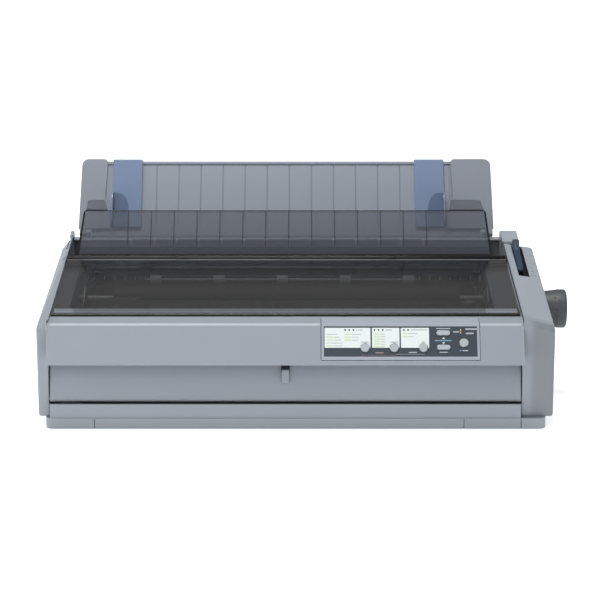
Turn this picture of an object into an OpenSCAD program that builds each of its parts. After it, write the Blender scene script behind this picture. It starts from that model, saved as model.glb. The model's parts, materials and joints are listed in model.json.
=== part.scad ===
// Wide-carriage dot matrix printer with hinged covers, built as separate pieces.
// Lengths in millimetres. +X is the printer's right seen from the front, +Y points to its rear, +Z up.
// Places in Y are counted from the front lip of the case, in Z from the table;
// placed() then moves everything so that the origin is the middle of the footprint.

/* [Case] */
// Width of the case without the platen knob
body_w = 610; // [580:1:640]
// Depth of the case from the front lip to the rear wall
case_d = 345; // [340:1:365]
// Width of the block left of the covers
left_block = 13.5; // [12:0.5:18]
// Width of the block right of the covers, which holds the gears and the lever
right_block = 38; // [36:0.5:44]
// Height of the ridge beside the cover, at its front end
ridge_h = 131; // [129:0.5:137]
// Rise of the ridge towards the rear, in degrees
ridge_rise = 7.25; // [6.8:0.05:8]
// Thickness of the case walls
wall = 3; // [2.4:0.1:3.4]
// Height of the skirt of the lower case
skirt_h = 14; // [12:0.5:16]
// How far the skirt stands in from the blocks beside it
skirt_inset = 9; // [7:0.5:10]
// Height of the rubber feet below the skirt
foot_h = 1; // [0.8:0.1:3]
// Radius of a rubber foot
foot_r = 9; // [7:0.5:10]

/* [Front] */
// Height of the lip of the sloping fascia
lip_h = 84.4; // [80:0.2:86]
// How far the lip stands in front of the side blocks
lip_reach = 28; // [24:0.5:30]
// Width of the control panel insert
panel_w = 185; // [175:1:195]
// Distance of the control panel's right edge from the right block
panel_from_right = 52; // [30:1:60]
// Height of the plain front panel under the front cover
front_panel_h = 31; // [30:0.5:34]
// Thickness of the front cover
door_t = 2.6; // [2:0.1:3]

/* [Covers] */
// Thickness of the tinted covers
tint_t = 2.5; // [2:0.1:3]
// Distance of the cover hinge from the front lip
hinge_y = 239; // [236:0.5:242]
// Radius of the hinge barrels
barrel_r = 5; // [4.5:0.1:5.5]
// Radius of the hinge rod
hinge_rod_r = 2; // [1.5:0.1:2.5]
// Length of the rear cover's panel
rear_cover_l = 66; // [60:0.5:70]
// Lean of the rear cover above the horizontal, in degrees
rear_cover_lean = 52; // [48:0.5:56]
// Number of ribs on the rear cover
rear_ribs = 14; // [8:1:16]
// Spacing of the ribs on the rear cover
rear_rib_pitch = 29.4; // [26:0.1:30]

/* [Paper support] */
// Length of the paper support panel
guide_l = 103; // [95:0.5:108]
// Lean of the paper support above the horizontal, in degrees
guide_lean = 57; // [54:0.5:60]
// Thickness of the paper support panel
guide_t = 4; // [3.5:0.1:5]
// Width of the left wing of the paper support
left_wing = 36; // [30:0.5:40]
// Width of the right wing of the paper support
right_wing = 55; // [45:0.5:60]
// Spacing of the grooves in the paper support
groove_pitch = 29.3; // [26:0.1:31]
// Number of grooves
grooves = 12; // [8:1:12]
// Width of an edge guide
edge_guide_w = 38.8; // [32:0.2:42]

/* [Print mechanism] */
// Radius of the rubber platen
platen_r = 18; // [17:0.1:18.4]
// Room between each end of the rubber platen and the case
platen_side = 64.2; // [60:0.2:70]
// Radius of the platen shaft
platen_shaft_r = 5; // [4:0.1:5.5]
// Distance of the platen axis from the front lip
platen_y = 188; // [186:0.5:190]
// Drop of the platen axis below the ridge's front end
platen_drop = 15; // [14:0.5:16]
// Radius of the platen knob
knob_r = 24; // [20:0.5:25]
// How far the platen knob stands out of the case
knob_reach = 29; // [24:0.5:34]
// Radius of the carriage shaft
carriage_shaft_r = 6; // [5:0.1:6.5]
// Width of the print head carriage
carriage_w = 64; // [56:1:70]
// Tooth size of the paper feed gears
gear_module = 0.8; // [0.75:0.05:0.8]
// Teeth of the platen gear
platen_teeth = 35; // [33:1:36]
// Teeth of the knob's gear
knob_teeth = 18; // [17:1:20]
// Teeth of the idler gear
idler_teeth = 30; // [28:1:32]
// Teeth of the motor pinion
pinion_teeth = 15; // [14:1:16]
// Number of rollers on the paper bail
bail_rollers_n = 5; // [3:1:6]
// Radius of a bail roller
bail_roller_r = 6; // [5:0.1:6]
// Side of the square tractor shaft
tractor_square = 6; // [5:0.1:6.5]
// Thickness of the sheet steel frames
steel_t = 1.6; // [1.2:0.1:2]

/* [Hidden] */
$fn = 48;

case_grey = [0.62, 0.66, 0.70];
support_grey = [0.56, 0.60, 0.65];
tint = [0.20, 0.21, 0.24, 0.75];
black = [0.10, 0.10, 0.11];
dark = [0.22, 0.23, 0.25];
steel = [0.70, 0.71, 0.73];
blue = [0.36, 0.47, 0.64];
key_grey = [0.78, 0.79, 0.80];

// Clearances
gap = 0.4;          // between neighbouring mouldings
seam = 1;           // beside the front panel
run = 0.08;         // of a pin or shaft in its hole, on the radius
seat = 0.3;         // between a moving piece and the face it rests on
glue = 0.05;        // of a glued joint

// Case
left_x = -(body_w + knob_reach) / 2;
right_x = left_x + body_w;
path_l = left_x + left_block;
path_r = right_x - right_block;
mid_x = (path_l + path_r) / 2;
path_w = path_r - path_l;
block_y = lip_reach;
skirt_y = block_y - 8;
rear_y = case_d;
ledge_l = 21;                       // width of the left ledge that the cover lies on
ledge_r = 30;
ledge_drop = 4.6;                   // ledge below the ridge
strip_drop = 3.5;                   // top strip of the fascia below the ridge
front_ledge_y = lip_reach + 50;     // inner end of the front ledge
cover_front_y = lip_reach + 23;     // front end of the cover's opening
deck_y = rear_y - 12;               // rear deck, which carries the paper support
deck_h = ridge_at(rear_y - 5) - 11;
floor_z = 5;
floor_t = 3;
fall_l = [7.3, 14.8];               // fall of a block's top to its outer edge, front and rear
fall_r = [9.5, 5.3];
soft = 3;                           // rounding of a block's outer edges
block_end_l = rear_y - 20;
block_end_r = rear_y - 45;
hump_w = 22;                        // width of the right cheek behind the block

// Front cover
door_y = block_y + 2.2;             // its hinge axis
door_barrel = 4;
door_z = front_panel_h + door_barrel + 0.7;
door_pin_r = 2;
door_top_y = block_y + 12;
door_reach = lip_h - door_z - 0.6;  // the door's top has to pass under the fascia
door_top_z = door_z + sqrt(door_reach * door_reach - pow(door_top_y + door_t + 0.3 - door_y, 2));
latch_w = 8.5;
latch_y = door_top_y - 1;
latch_z = door_top_z - 9.5;

// Power switch on the left side
switch_y = block_y + 52;
switch_z = 62;

// Control panel, in the plane of the fascia
fascia_rise = atan2(ridge_h - strip_drop - lip_h, lip_reach);
fascia_l = norm([ridge_h - strip_drop - lip_h, lip_reach]);
lip_r = 1.2;                        // rounding of the lip
front_most = lip_r / tan(fascia_rise / 2) - lip_r;
panel_r = path_r - panel_from_right;
panel_l = panel_r - panel_w;
overlay_low = 11.4;                 // along the slope from the lip
overlay_high = fascia_l - 3.3;
overlay_t = 1;
key_r = 5.3;
key_travel = 1.2;

// Covers
tan_rise = tan(ridge_rise);
function ridge_at(y) = ridge_h + (y - lip_reach) * tan(ridge_rise);
function strip_at(y) = ridge_at(y) - strip_drop;
hinge_z = ridge_at(hinge_y) - 3;
cover_l = path_l + 1.5;
cover_r = path_r - 1.5;
strip_y = hinge_y - barrel_r - 2.5; // joint of the tinted sheet and its hinge strip
knuckle_l = 14;                     // length of a rear cover's knuckle
knuckles = 5;
rear_l = path_l + 12.4;             // ends of the rear cover at its foot
rear_r = path_r - 17.2;
rear_taper = 6.2;                   // how much nearer the ends come at its top

// Paper support
pivot_y = rear_y - 5;
pivot_z = deck_h + 6;
support_pin_r = 2.4;
support_l = path_l + 5.2;
support_r = path_r - 7.2;
hook_l = 0.9;                       // hook of an edge guide over the top rim
hook_t = 2.4;
rear_most = pivot_y + (guide_l + hook_l) * cos(guide_lean) + (guide_t + hook_t) * sin(guide_lean);

// Mechanism
frame_half = path_w / 2 - 29.5;     // room for the gears between frame and block
platen_l = path_w - 2 * platen_side;
frame_l = mid_x - frame_half;
frame_r = mid_x + frame_half;
platen_z = ridge_h - platen_drop;
shaft_y = platen_y - 49;
shaft_z = platen_z - 42;
chassis_z = 12;
chassis_top = chassis_z + steel_t;
belt_y = platen_y - 66;
belt_z = platen_z - 64;
belt_pulley_r = 8;
ribbon_half = frame_half - 13.8;    // half the ribbon cartridge's length
ribbon_z = platen_z - 8;
cartridge_y = platen_y - 99;        // its front edge
cartridge_d = 39;
head_home = 36 - ribbon_half;       // the head's home, from the middle of the platen
knob_angle = 199;                   // from the platen's axis to the knob's
train_angle = -45;                  // from the platen's axis to the idler's and the motor's
knob_dist = gear_module * (platen_teeth + knob_teeth) / 2;
idler_dist = gear_module * (platen_teeth + idler_teeth) / 2;
motor_dist = gear_module * (idler_teeth + pinion_teeth) / 2;
knob_y = platen_y + knob_dist * cos(knob_angle);
knob_z = platen_z + knob_dist * sin(knob_angle);
idler_y = platen_y + idler_dist * cos(train_angle);
idler_z = platen_z + idler_dist * sin(train_angle);
motor_y = idler_y + motor_dist * cos(train_angle);
motor_z = idler_z + motor_dist * sin(train_angle);
platen_turn = train_angle;
knob_turn = mesh_turn(platen_turn, platen_teeth, knob_teeth, knob_angle);
idler_turn = mesh_turn(platen_turn, platen_teeth, idler_teeth, train_angle);
pinion_turn = mesh_turn(idler_turn, idler_teeth, pinion_teeth, train_angle);
knob_shaft_r = 4;
gear_x = frame_r + 9;
gear_t = 6;
bail_angle = 65;                    // where a bail roller lies on the platen
bail_y = platen_y + (platen_r + bail_roller_r + seat) * cos(bail_angle);
bail_z = platen_z + (platen_r + bail_roller_r + seat) * sin(bail_angle);
bail_rod_r = 2;
bail_pivot_y = platen_y + 36;
bail_pivot_z = platen_z + 6;
bail_arm = frame_half - 8;
lever_y = platen_y + 51;
lever_z = platen_z;
lever_x = path_r + 11;
lever_t = 7.8;
slot_front = platen_y - 8;
slot_rear = lever_y + 54;
tractor_y = rear_y - 50;
tractor_z = ridge_h - 3;
tractor_rod_y = tractor_y - 20;
tractor_half = 15;
flap_y0 = tractor_rod_y - 6;
flap_y1 = tractor_y + 10;
left_tractor_x = mid_x - 190;
right_tractor_x = mid_x + 150;

// Moves a piece from the builder's places to the frame with its origin under the middle
module placed() {
  translate([0, -(front_most + rear_most) / 2, 0]) children();
}

// Box between two corners
module box(low, high) {
  translate(low) cube(high - low);
}

// Outline in Y and Z, carried along X
module along_x(x0, x1) {
  translate([x0, 0, 0]) rotate([90, 0, 90]) linear_extrude(x1 - x0) children();
}

// Outline in X and Z, carried along Y
module along_y(y0, y1) {
  translate([0, y1, 0]) rotate([90, 0, 0]) linear_extrude(y1 - y0) children();
}

// Round rod along X
module rod_x(x0, x1, y, z, r) {
  translate([x0, y, z]) rotate([0, 90, 0]) cylinder(h = x1 - x0, r = r);
}

// Round rod along Y
module rod_y(x, y0, y1, z, r) {
  translate([x, y1, z]) rotate([90, 0, 0]) cylinder(h = y1 - y0, r = r);
}

function unit(v) = v / norm(v);

// Outline with rounded corners: each corner is [a, b, radius], and radius 0 stays sharp
function rounded(corners, steps = 5) = [
  for (i = [0:len(corners) - 1])
    let (
      n = len(corners),
      p = [corners[i][0], corners[i][1]],
      r = corners[i][2],
      before = corners[(i + n - 1) % n],
      after = corners[(i + 1) % n],
      u = unit([before[0], before[1]] - p),
      v = unit([after[0], after[1]] - p),
      half = acos(max(-1, min(1, u * v))) / 2,
      centre = p + unit(u + v) * (r > 0 ? r / sin(half) : 0),
      from = p + u * (r > 0 ? r / tan(half) : 0) - centre,
      to = p + v * (r > 0 ? r / tan(half) : 0) - centre,
      a0 = atan2(from[1], from[0]),
      turn = (atan2(to[1], to[0]) - a0 + 540) % 360 - 180
    )
    each (r <= 0 ? [p] : [for (k = [0:steps]) centre + r * [cos(a0 + turn * k / steps), sin(a0 + turn * k / steps)]])
];

// Rectangle with rounded corners, exact arcs
module round_rect(low, high, r) {
  translate([low[0] + r, low[1]]) square([high[0] - low[0] - 2 * r, high[1] - low[1]]);
  translate([low[0], low[1] + r]) square([high[0] - low[0], high[1] - low[1] - 2 * r]);
  for (x = [low[0] + r, high[0] - r], y = [low[1] + r, high[1] - r]) translate([x, y]) circle(r);
}

// One involute flank, from the root to the tip, as [radius, half angle of the tooth there]
function involute(t) = tan(t) - t * PI / 180;

// Outline of an involute spur gear
function gear_outline(teeth, m, slack = 0.12) =
  let (
    pitch = m * teeth / 2,
    base = pitch * cos(20),
    tip = pitch + m * 0.95,
    root = pitch - m * 1.2,
    half_pitch = 90 / teeth - slack / pitch * 90 / PI + involute(20) * 180 / PI,
    radii = [max(base, root), (max(base, root) + pitch) / 2, pitch, tip],
    flank = [for (r = radii) [r, half_pitch - involute(acos(min(1, base / r))) * 180 / PI]]
  )
  [for (i = [0:teeth - 1])
    let (a = i * 360 / teeth)
    each concat(
      [root * [cos(a - flank[0][1] - 0.5), sin(a - flank[0][1] - 0.5)]],
      [for (f = flank) f[0] * [cos(a - f[1]), sin(a - f[1])]],
      [for (k = [3:-1:0]) flank[k][0] * [cos(a + flank[k][1]), sin(a + flank[k][1])]],
      [root * [cos(a + flank[0][1] + 0.5), sin(a + flank[0][1] + 0.5)]]
    )];

// Turn of gear b that meshes with gear a, which lies at direction dir as seen from a
function mesh_turn(turn_a, teeth_a, teeth_b, dir) =
  dir + 180 - (turn_a - dir) * teeth_a / teeth_b - 180 / teeth_b;

// Spur gear on an axis along X
module spur_gear(y, z, teeth, bore, turn) {
  translate([gear_x, y, z]) rotate([90, 0, 90]) difference() {
    linear_extrude(gear_t) rotate(turn) polygon(gear_outline(teeth, gear_module));
    translate([0, 0, -1]) cylinder(h = gear_t + 2, r = bore);
  }
}

// ---------------------------------------------------------------- case

// Side outline of a block: front face, top edge that rises to the rear, rear face
function block_outline(y0, y1, z0, top_front, top_rear, inset = 0) = rounded([
  [y0 + inset, z0, 0],
  [y0 + inset, top_front - inset, max(0.5, 5 - inset)],
  [y1 - inset, top_rear - inset, max(0.5, 12 - inset)],
  [y1 - inset, z0, 0]
]);

// Block beside the covers: its top falls from the ridge to the outer edge
module block_solid(x_ridge, x_edge, y1, fall, inset) {
  z0 = skirt_h + inset;
  side = sign(x_edge - x_ridge);
  slab = 0.02;
  hull() {
    translate([x_ridge + side * inset - slab / 2, 0, 0]) along_x(0, slab)
      polygon(block_outline(block_y, y1, z0, ridge_h, ridge_at(y1), inset));
    for (k = [0:3]) {
      in = soft * (1 - cos(30 * k));  // the outer edges are rounded in three steps
      translate([x_edge - side * (inset + slab + soft * (1 - sin(30 * k))) - (side < 0 ? slab : 0), 0, 0])
        along_x(0, slab) polygon(block_outline(block_y, y1, z0 + in, ridge_h - fall[0], ridge_at(y1) - fall[1], inset + in));
    }
  }
}

module block(x_ridge, x_edge, y1, fall) {
  difference() {
    block_solid(x_ridge, x_edge, y1, fall, 0);
    block_solid(x_ridge, x_edge, y1, fall, wall);
  }
}

// Ridge that borders the covers, with the cheek behind the block
module cheek(x_in, x_out, y1) {
  along_x(min(x_in, x_out), max(x_in, x_out)) polygon(rounded([
    [y1 - wall, skirt_h, 0], [y1 - wall, ridge_at(y1 - wall), 0], [rear_y, ridge_at(rear_y), 9], [rear_y, skirt_h, 0]
  ]));
}

// Fascia, overhang and front ledge, as one bent wall
module fascia() {
  top = ridge_h - strip_drop;
  along_x(path_l, path_r) polygon(concat(
    rounded([[block_y + 18, lip_h, 0], [0, lip_h, lip_r], [lip_reach, top, 2], [cover_front_y, strip_at(cover_front_y), 0]], 4),
    [
      [cover_front_y, ridge_at(cover_front_y) - ledge_drop],
      [front_ledge_y, ridge_at(front_ledge_y) - ledge_drop],
      [front_ledge_y, ridge_at(front_ledge_y) - ledge_drop - wall],
      [cover_front_y - wall, ridge_at(cover_front_y) - ledge_drop - wall],
      [lip_reach + 4.5, strip_at(lip_reach + 4.5) - wall],
      [lip_reach + 1.5, top - 4.5],
      [5.4, lip_h + wall],
      [block_y + 18, lip_h + wall]
    ]
  ));
}

// Ledge along one side of the opening, under the cover
module side_ledge(x0, x1) {
  along_x(x0, x1) polygon([
    [front_ledge_y, ridge_at(front_ledge_y) - ledge_drop],
    [hinge_y - 14, ridge_at(hinge_y - 14) - ledge_drop],
    [hinge_y - 14, ridge_at(hinge_y - 14) - ledge_drop - wall],
    [front_ledge_y, ridge_at(front_ledge_y) - ledge_drop - wall]
  ]);
}

// Wall between a block's cavity and the covers' opening, open for the gears' shaft
module rear_wall() {
  difference() {
    box([path_l, rear_y - wall, skirt_h], [path_r, rear_y, deck_h]);
    for (i = [0:17])
      box([mid_x + 24 + i * 9, rear_y - wall - 1, 84], [mid_x + 28.5 + i * 9, rear_y + 1, 116]);
    box([path_l + 40, rear_y - wall - 1, 30], [path_l + 88, rear_y + 1, 62]);
    box([path_r - 190, rear_y - wall - 1, 26], [path_r - 50, rear_y + 1, 62]);
  }
  // rear deck with its ribs
  box([path_l, deck_y, deck_h - wall], [path_r, rear_y - wall + 0.5, deck_h]);
  for (i = [0:rear_ribs - 1]) {
    x = mid_x - 203 + i * rear_rib_pitch;
    box([x - 0.8, deck_y - 6, deck_h - 12], [x + 0.8, deck_y + 0.5, deck_h]);
  }
}

// Posts that hold the paper support's hinge pins
module support_posts() {
  for (x = [support_l + 10, support_r - 16]) difference() {
    along_x(x, x + 6) polygon(rounded([
      [pivot_y - 5, deck_h - 1, 0], [pivot_y - 5, pivot_z + 5, 4], [pivot_y + 5, pivot_z + 5, 4], [pivot_y + 5, deck_h - 1, 0]
    ]));
    rod_x(x - 1, x + 7, pivot_y, pivot_z, support_pin_r + run);
  }
}

module upper_case() {
  color(case_grey) difference() {
    union() {
      block(path_l, left_x, block_end_l, fall_l);
      block(path_r, right_x, block_end_r, fall_r);
      cheek(path_l, path_l - 4, block_end_l);
      difference() {
        cheek(path_r, path_r + hump_w, block_end_r);
        cheek_room(path_r + wall, path_r + hump_w - wall, block_end_r);
      }
      fascia();
      side_ledge(path_l - 0.5, path_l + ledge_l);
      side_ledge(path_r - ledge_r, path_r + 0.5);
      rear_wall();
      support_posts();
      rod_x(path_r + wall - 0.5, lever_x + lever_t + 1.5, lever_y, lever_z, 3);
    }
    // knob shaft
    rod_x(path_r - 1, path_r + wall + 1, knob_y, knob_z, knob_shaft_r + run);
    rod_x(right_x - wall - 1, right_x + 1, knob_y, knob_z, knob_shaft_r + run);
    // release lever slot
    box([path_r + 10, slot_front, lever_z + 10], [path_r + 23.5, slot_rear, ridge_at(rear_y) + 5]);
    // front cover's hinge pins
    for (x = [path_l - wall - 1, path_r - 1]) rod_x(x, x + wall + 2, door_y, door_z, door_pin_r + run);
    // ends of the hinge rod
    for (x = [path_l - wall - 1, path_r - 1]) rod_x(x, x + wall + 2, hinge_y, hinge_z, hinge_rod_r + 0.02);
    // opening for the control panel
    along_x(panel_l - gap, panel_r + gap) polygon(panel_profile(gap, 2, 4.4));
    // switch housing in the left wall
    box([left_x - 1, switch_y - 16, switch_z - 11], [left_x + wall + 1, switch_y + 16, switch_z + 11]);
    // screw holes in the rear wall
    for (x = [path_l + 20, path_r - 20]) rod_y(x, rear_y - wall - 1, rear_y + 1, 24, 2);
  }
}

module cheek_room(x0, x1, y1) {
  along_x(x0, x1) polygon([
    [y1 - wall - 1, skirt_h + wall], [y1 - wall - 1, ridge_at(y1) - wall - 2],
    [rear_y - wall - 3, ridge_at(rear_y) - wall - 2], [rear_y - wall, ridge_at(rear_y) - wall - 8],
    [rear_y - wall, skirt_h + wall]
  ]);
}

// Profile of the control panel insert, between an outer and an inner offset of the fascia
function panel_profile(grow, out, inner) =
  let (
    low = 7 - grow, rear = lip_reach + 18 + grow,
    n = [-sin(fascia_rise), cos(fascia_rise)], s = [cos(fascia_rise), sin(fascia_rise)],
    m = unit([-tan(ridge_rise), 1]), lip = [0, lip_h], corner = lip + s * fascia_l,
    mid = corner + (unit(n + m)) * out * 1.1, low_mid = corner - unit(n + m) * inner * 1.1
  )
  [
    lip + s * low + n * out, mid, [rear, strip_at(rear)] + m * out,
    [rear, strip_at(rear)] - m * inner, low_mid, lip + s * low - n * inner
  ];

// Frame whose XY plane is the fascia: Y runs up the slope from the lip, Z points out
module on_fascia() {
  translate([0, 0, lip_h]) rotate([fascia_rise, 0, 0]) children();
}

module lower_case() {
  x0 = left_x + skirt_inset;
  x1 = right_x - skirt_inset;
  y1 = rear_y - 4;
  top = floor_z + floor_t;
  color(case_grey) difference() {
    union() {
      difference() {
        translate([0, 0, foot_h]) linear_extrude(skirt_h - foot_h) round_rect([x0, skirt_y], [x1, y1], 8);
        translate([0, 0, foot_h - 1]) linear_extrude(floor_z - foot_h + 1)
          round_rect([x0 + wall, skirt_y + wall], [x1 - wall, y1 - wall], 6);
        translate([0, 0, top]) linear_extrude(skirt_h)
          round_rect([x0 + wall, skirt_y + wall], [x1 - wall, y1 - wall], 6);
      }
      // shelf that the upper case's blocks stand on
      box([x0 + wall - 0.5, skirt_y + wall - 0.5, skirt_h - 2.5], [x1 - wall + 0.5, block_y + wall, skirt_h]);
      // front panel between the blocks
      box([path_l + seam, skirt_y + 1, skirt_h - 1], [path_r - seam, skirt_y + 1 + wall, front_panel_h]);
      // floor ribs that carry the chassis
      for (y = [platen_y - 90, platen_y + 10, rear_y - 40])
        box([frame_l + 5, y, top - 0.5], [frame_r - 5, y + 3, chassis_z]);
      for (p = screw_places()) translate([p[0], p[1], top - 0.5]) cylinder(h = 3.5, r = 5);
    }
    for (p = screw_places()) translate([p[0], p[1], floor_z - 1]) cylinder(h = 8, r = 2.1);
    // cooling slots in the floor
    for (i = [0:9]) box([mid_x - 60 + i * 12, platen_y - 60, floor_z - 1], [mid_x - 55 + i * 12, platen_y - 20, top + 1]);
    // seams in the skirt
    for (x = [left_x + 67, right_x - 106, path_r - seam / 2])
      box([x - 0.4, skirt_y - 1, 0], [x + 0.4, skirt_y + 0.8, skirt_h + 1]);
  }
}

function screw_places() = [
  for (x = [left_x + 30, right_x - 30], y = [skirt_y + 18, rear_y - 26]) [x, y]
];

function foot_places() = [
  for (x = [left_x + 62, right_x - 62], y = [skirt_y + 30, rear_y - 40]) [x, y]
];

module rubber_feet() {
  color(black) for (p = foot_places()) translate([p[0], p[1], 0]) rotate_extrude(angle = 360)
    polygon(rounded([[0, 0, 0], [foot_r - 0.6, 0, 1], [foot_r, floor_z, 0], [0, floor_z, 0]]));
}

module case_screws() {
  color(steel) {
    for (p = screw_places()) translate([p[0], p[1], floor_z - 2.6]) {
      difference() {
        cylinder(h = 2.6, r = 3.6);
        translate([-2.4, -0.5, -1]) cube([4.8, 1, 2.2]);
        translate([-0.5, -2.4, -1]) cube([1, 4.8, 2.2]);
      }
      translate([0, 0, 2.6]) cylinder(h = 5.9, r = 1.9);
    }
    for (x = [path_l + 20, path_r - 20]) {
      rod_y(x, rear_y, rear_y + 2, 24, 3.6);
      rod_y(x, rear_y - 6, rear_y, 24, 1.8);
    }
  }
}

// ---------------------------------------------------------------- front cover

// Outer face of the front cover: a hollow curve from the hinge up under the overhang
function door_curve(t, out = 0) =
  let (
    a = [door_y - door_barrel, door_z], b = [door_y - 2, door_z + 24], c = [door_top_y, door_top_z],
    p = (1 - t) * (1 - t) * a + 2 * t * (1 - t) * b + t * t * c,
    d = unit(2 * (1 - t) * (b - a) + 2 * t * (c - b))
  ) p + out * [d[1], -d[0]];

module front_cover() {
  x0 = path_l + gap + 0.6;
  x1 = path_r - gap - 0.6;
  slot = latch_w / 2 + 0.6;
  color(case_grey) difference() {
    union() {
      difference() {
        union() {
          along_x(x0, x1) polygon(concat(
            [for (k = [0:10]) door_curve(k / 10)],
            [for (k = [10:-1:0]) door_curve(k / 10, door_t)]
          ));
          rod_x(x0, x1, door_y, door_z, door_barrel);
          // stiffening ribs behind the cover
          for (x = [mid_x - 180, mid_x - 60, mid_x + 60, mid_x + 180])
            along_x(x - 1, x + 1) polygon(concat(
              [for (k = [2:8]) door_curve(k / 10, door_t - 0.2)],
              [for (k = [8:-1:2]) door_curve(k / 10, door_t + 5)]
            ));
        }
        // opening for the latch
        box([mid_x - slot, 0, latch_z - 6], [mid_x + slot, door_top_y + 8, lip_h]);
      }
      // ears of the latch
      for (x = [mid_x - slot - 2, mid_x + slot]) along_x(x, x + 2) polygon(rounded([
        [latch_y + 2.8, latch_z - 2.8, 2.4], [latch_y + 2.8, latch_z + 2.8, 2.4],
        [door_top_y - 1.5, latch_z + 2.8, 0], [door_top_y - 6, latch_z - 2.8, 0]
      ], 3));
      rod_x(x0 - 2.6, x0 + 1, door_y, door_z, door_pin_r);
      rod_x(x1 - 1, x1 + 2.6, door_y, door_z, door_pin_r);
    }
    rod_x(mid_x - slot - 3, mid_x + slot + 3, latch_y, latch_z, 1.2 + run);
  }
}

module front_cover_latch() {
  x0 = mid_x - latch_w / 2;
  face = door_curve(0.42)[0];       // the door's face at the tab's lower end
  color(case_grey) {
    along_x(x0, x0 + latch_w) polygon(rounded([
      [latch_y + 2.2, latch_z - 2.2, 1], [latch_y + 2.2, latch_z + 2.2, 1.5], [latch_y - 6, latch_z + 3, 2],
      [latch_y - 11.5, latch_z - 2, 4], [face - 4.6, latch_z - 15.5, 1.2], [face - 2.4, latch_z - 18, 0.8],
      [face - 1.2, latch_z - 16, 0.8], [latch_y - 9.4, latch_z - 5.4, 1], [latch_y - 5, latch_z - 2.6, 2]
    ], 3));
    rod_x(x0 - 2.4, x0 + 1, latch_y, latch_z, 1.2);
    rod_x(x0 + latch_w - 1, x0 + latch_w + 2.4, latch_y, latch_z, 1.2);
  }
}

// ---------------------------------------------------------------- covers

module printer_cover() {
  y0 = cover_front_y + 1.2;
  y1 = strip_y;
  function top(y) = ridge_at(y) - 1.2;
  color(tint) {
    along_x(cover_l, cover_r) polygon([
      [y0, top(y0) - 3.1], [y0, top(y0) - 0.6], [y0 + 0.6, top(y0 + 0.6)], [y1, top(y1)],
      [y1, top(y1) - tint_t], [y0 + 2, top(y0 + 2) - tint_t], [y0 + 2, top(y0) - 3.1]
    ]);
    // stiffening fins under the sheet, in front of the hinge
    for (x = [cover_l + 24, cover_r - 34])
      along_x(x, x + 2) polygon([
        [y1 - 70, top(y1 - 70) - tint_t + 0.5], [y1, top(y1) - tint_t + 0.5],
        [y1, top(y1) - tint_t - 4], [y1 - 60, top(y1 - 60) - tint_t - 3]
      ]);
  }
}

// Barrels of the hinge: the strip's are long, and the rear cover's knuckles lie between them
function knuckle_x(i) = cover_l + 6 + (cover_r - cover_l - 12 - knuckle_l) * i / (knuckles - 1);

module cover_hinge_strip() {
  top = ridge_at(strip_y) - 1.2;
  back = hinge_y - barrel_r - 0.6;
  color(black) {
    // bar under the sheet's rear edge
    along_x(cover_l, cover_r)
      polygon([[strip_y, top], [back, top], [back, top - tint_t - 2], [strip_y, top - tint_t - 2]]);
    // barrels, each glued to the bar by its leaf
    for (i = [-1:knuckles - 1]) {
      x0 = i < 0 ? cover_l : knuckle_x(i) + knuckle_l + gap;
      x1 = i == knuckles - 1 ? cover_r : knuckle_x(i + 1) - gap;
      difference() {
        union() {
          rod_x(x0, x1, hinge_y, hinge_z, barrel_r);
          box([x0, back + glue, hinge_z - 2], [x1, hinge_y, top]);
        }
        rod_x(x0 - 1, x1 + 1, hinge_y, hinge_z, hinge_rod_r + run);
      }
    }
  }
}

module hinge_rod() {
  color(steel) rod_x(path_l - wall, path_r + wall, hinge_y, hinge_z, hinge_rod_r);
}

// Frame of the rear cover: its panel runs along +Y, Z points towards the front and up
rear_foot_y = hinge_y + 9;
module on_rear_cover() {
  translate([0, rear_foot_y, hinge_z + 1]) rotate([rear_cover_lean, 0, 0]) children();
}

module rear_cover() {
  taper = rear_taper;
  color(tint) {
        on_rear_cover() {
          translate([0, 0, -tint_t]) linear_extrude(tint_t) polygon(rounded([
            [rear_l, 0, 0], [rear_l + taper, rear_cover_l, 4],
            [rear_r - taper, rear_cover_l, 4], [rear_r, 0, 0]
          ]));
          // rolled top edge
          translate([0, rear_cover_l - 1.2, -tint_t - 1.4])
            box([rear_l + taper + 3, 0, 0], [rear_r - taper - 3, 1.2, 1.4]);
          // ribs that guide the paper
          for (i = [0:rear_ribs - 1]) {
            x = mid_x - 203 + i * rear_rib_pitch;
            box([x - 0.6, 16, -tint_t - 3], [x + 0.6, rear_cover_l - 2, -tint_t]);
          }
          // ears that lean on the paper support's wings
          for (x = [rear_l + taper + 2, rear_r - taper - 47.5]) {
            w = x < mid_x ? 30 : 46;
            translate([0, 0, -tint_t]) linear_extrude(tint_t) polygon(rounded([
              [x, rear_cover_l - 3, 0], [x + 3, rear_cover_l + 15, 3],
              [x + w - 5, rear_cover_l + 15, 3], [x + w, rear_cover_l - 3, 0]
            ]));
          }
        }
        // foot that reaches forward to the knuckles
        along_x(rear_l, rear_r) polygon([
          [hinge_y + barrel_r + 1, hinge_z - 1.5], [hinge_y + barrel_r + 1, hinge_z + 1],
          [rear_foot_y, hinge_z + 1], [rear_foot_y + 1, hinge_z + 2], [rear_foot_y + 3, hinge_z + 0.5],
          [rear_foot_y + 2, hinge_z - 1.5]
        ]);
  }
}

module rear_cover_knuckles() {
  color(black) difference() {
    union() for (i = [0:knuckles - 1]) {
      x0 = knuckle_x(i);
      rod_x(x0, x0 + knuckle_l, hinge_y, hinge_z, barrel_r);
      box([x0, hinge_y, hinge_z - 1.5], [x0 + knuckle_l, hinge_y + barrel_r + 1, hinge_z + 1]);
    }
    rod_x(cover_l - 1, cover_r + 1, hinge_y, hinge_z, hinge_rod_r + run);
  }
}

// ---------------------------------------------------------------- paper support

// Frame of the paper support: its panel runs along +Y, Z points towards the front and up
module on_support() {
  translate([0, pivot_y, pivot_z]) rotate([guide_lean, 0, 0]) children();
}

plate_l = support_l + left_wing;
plate_r = support_r - right_wing;

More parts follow.
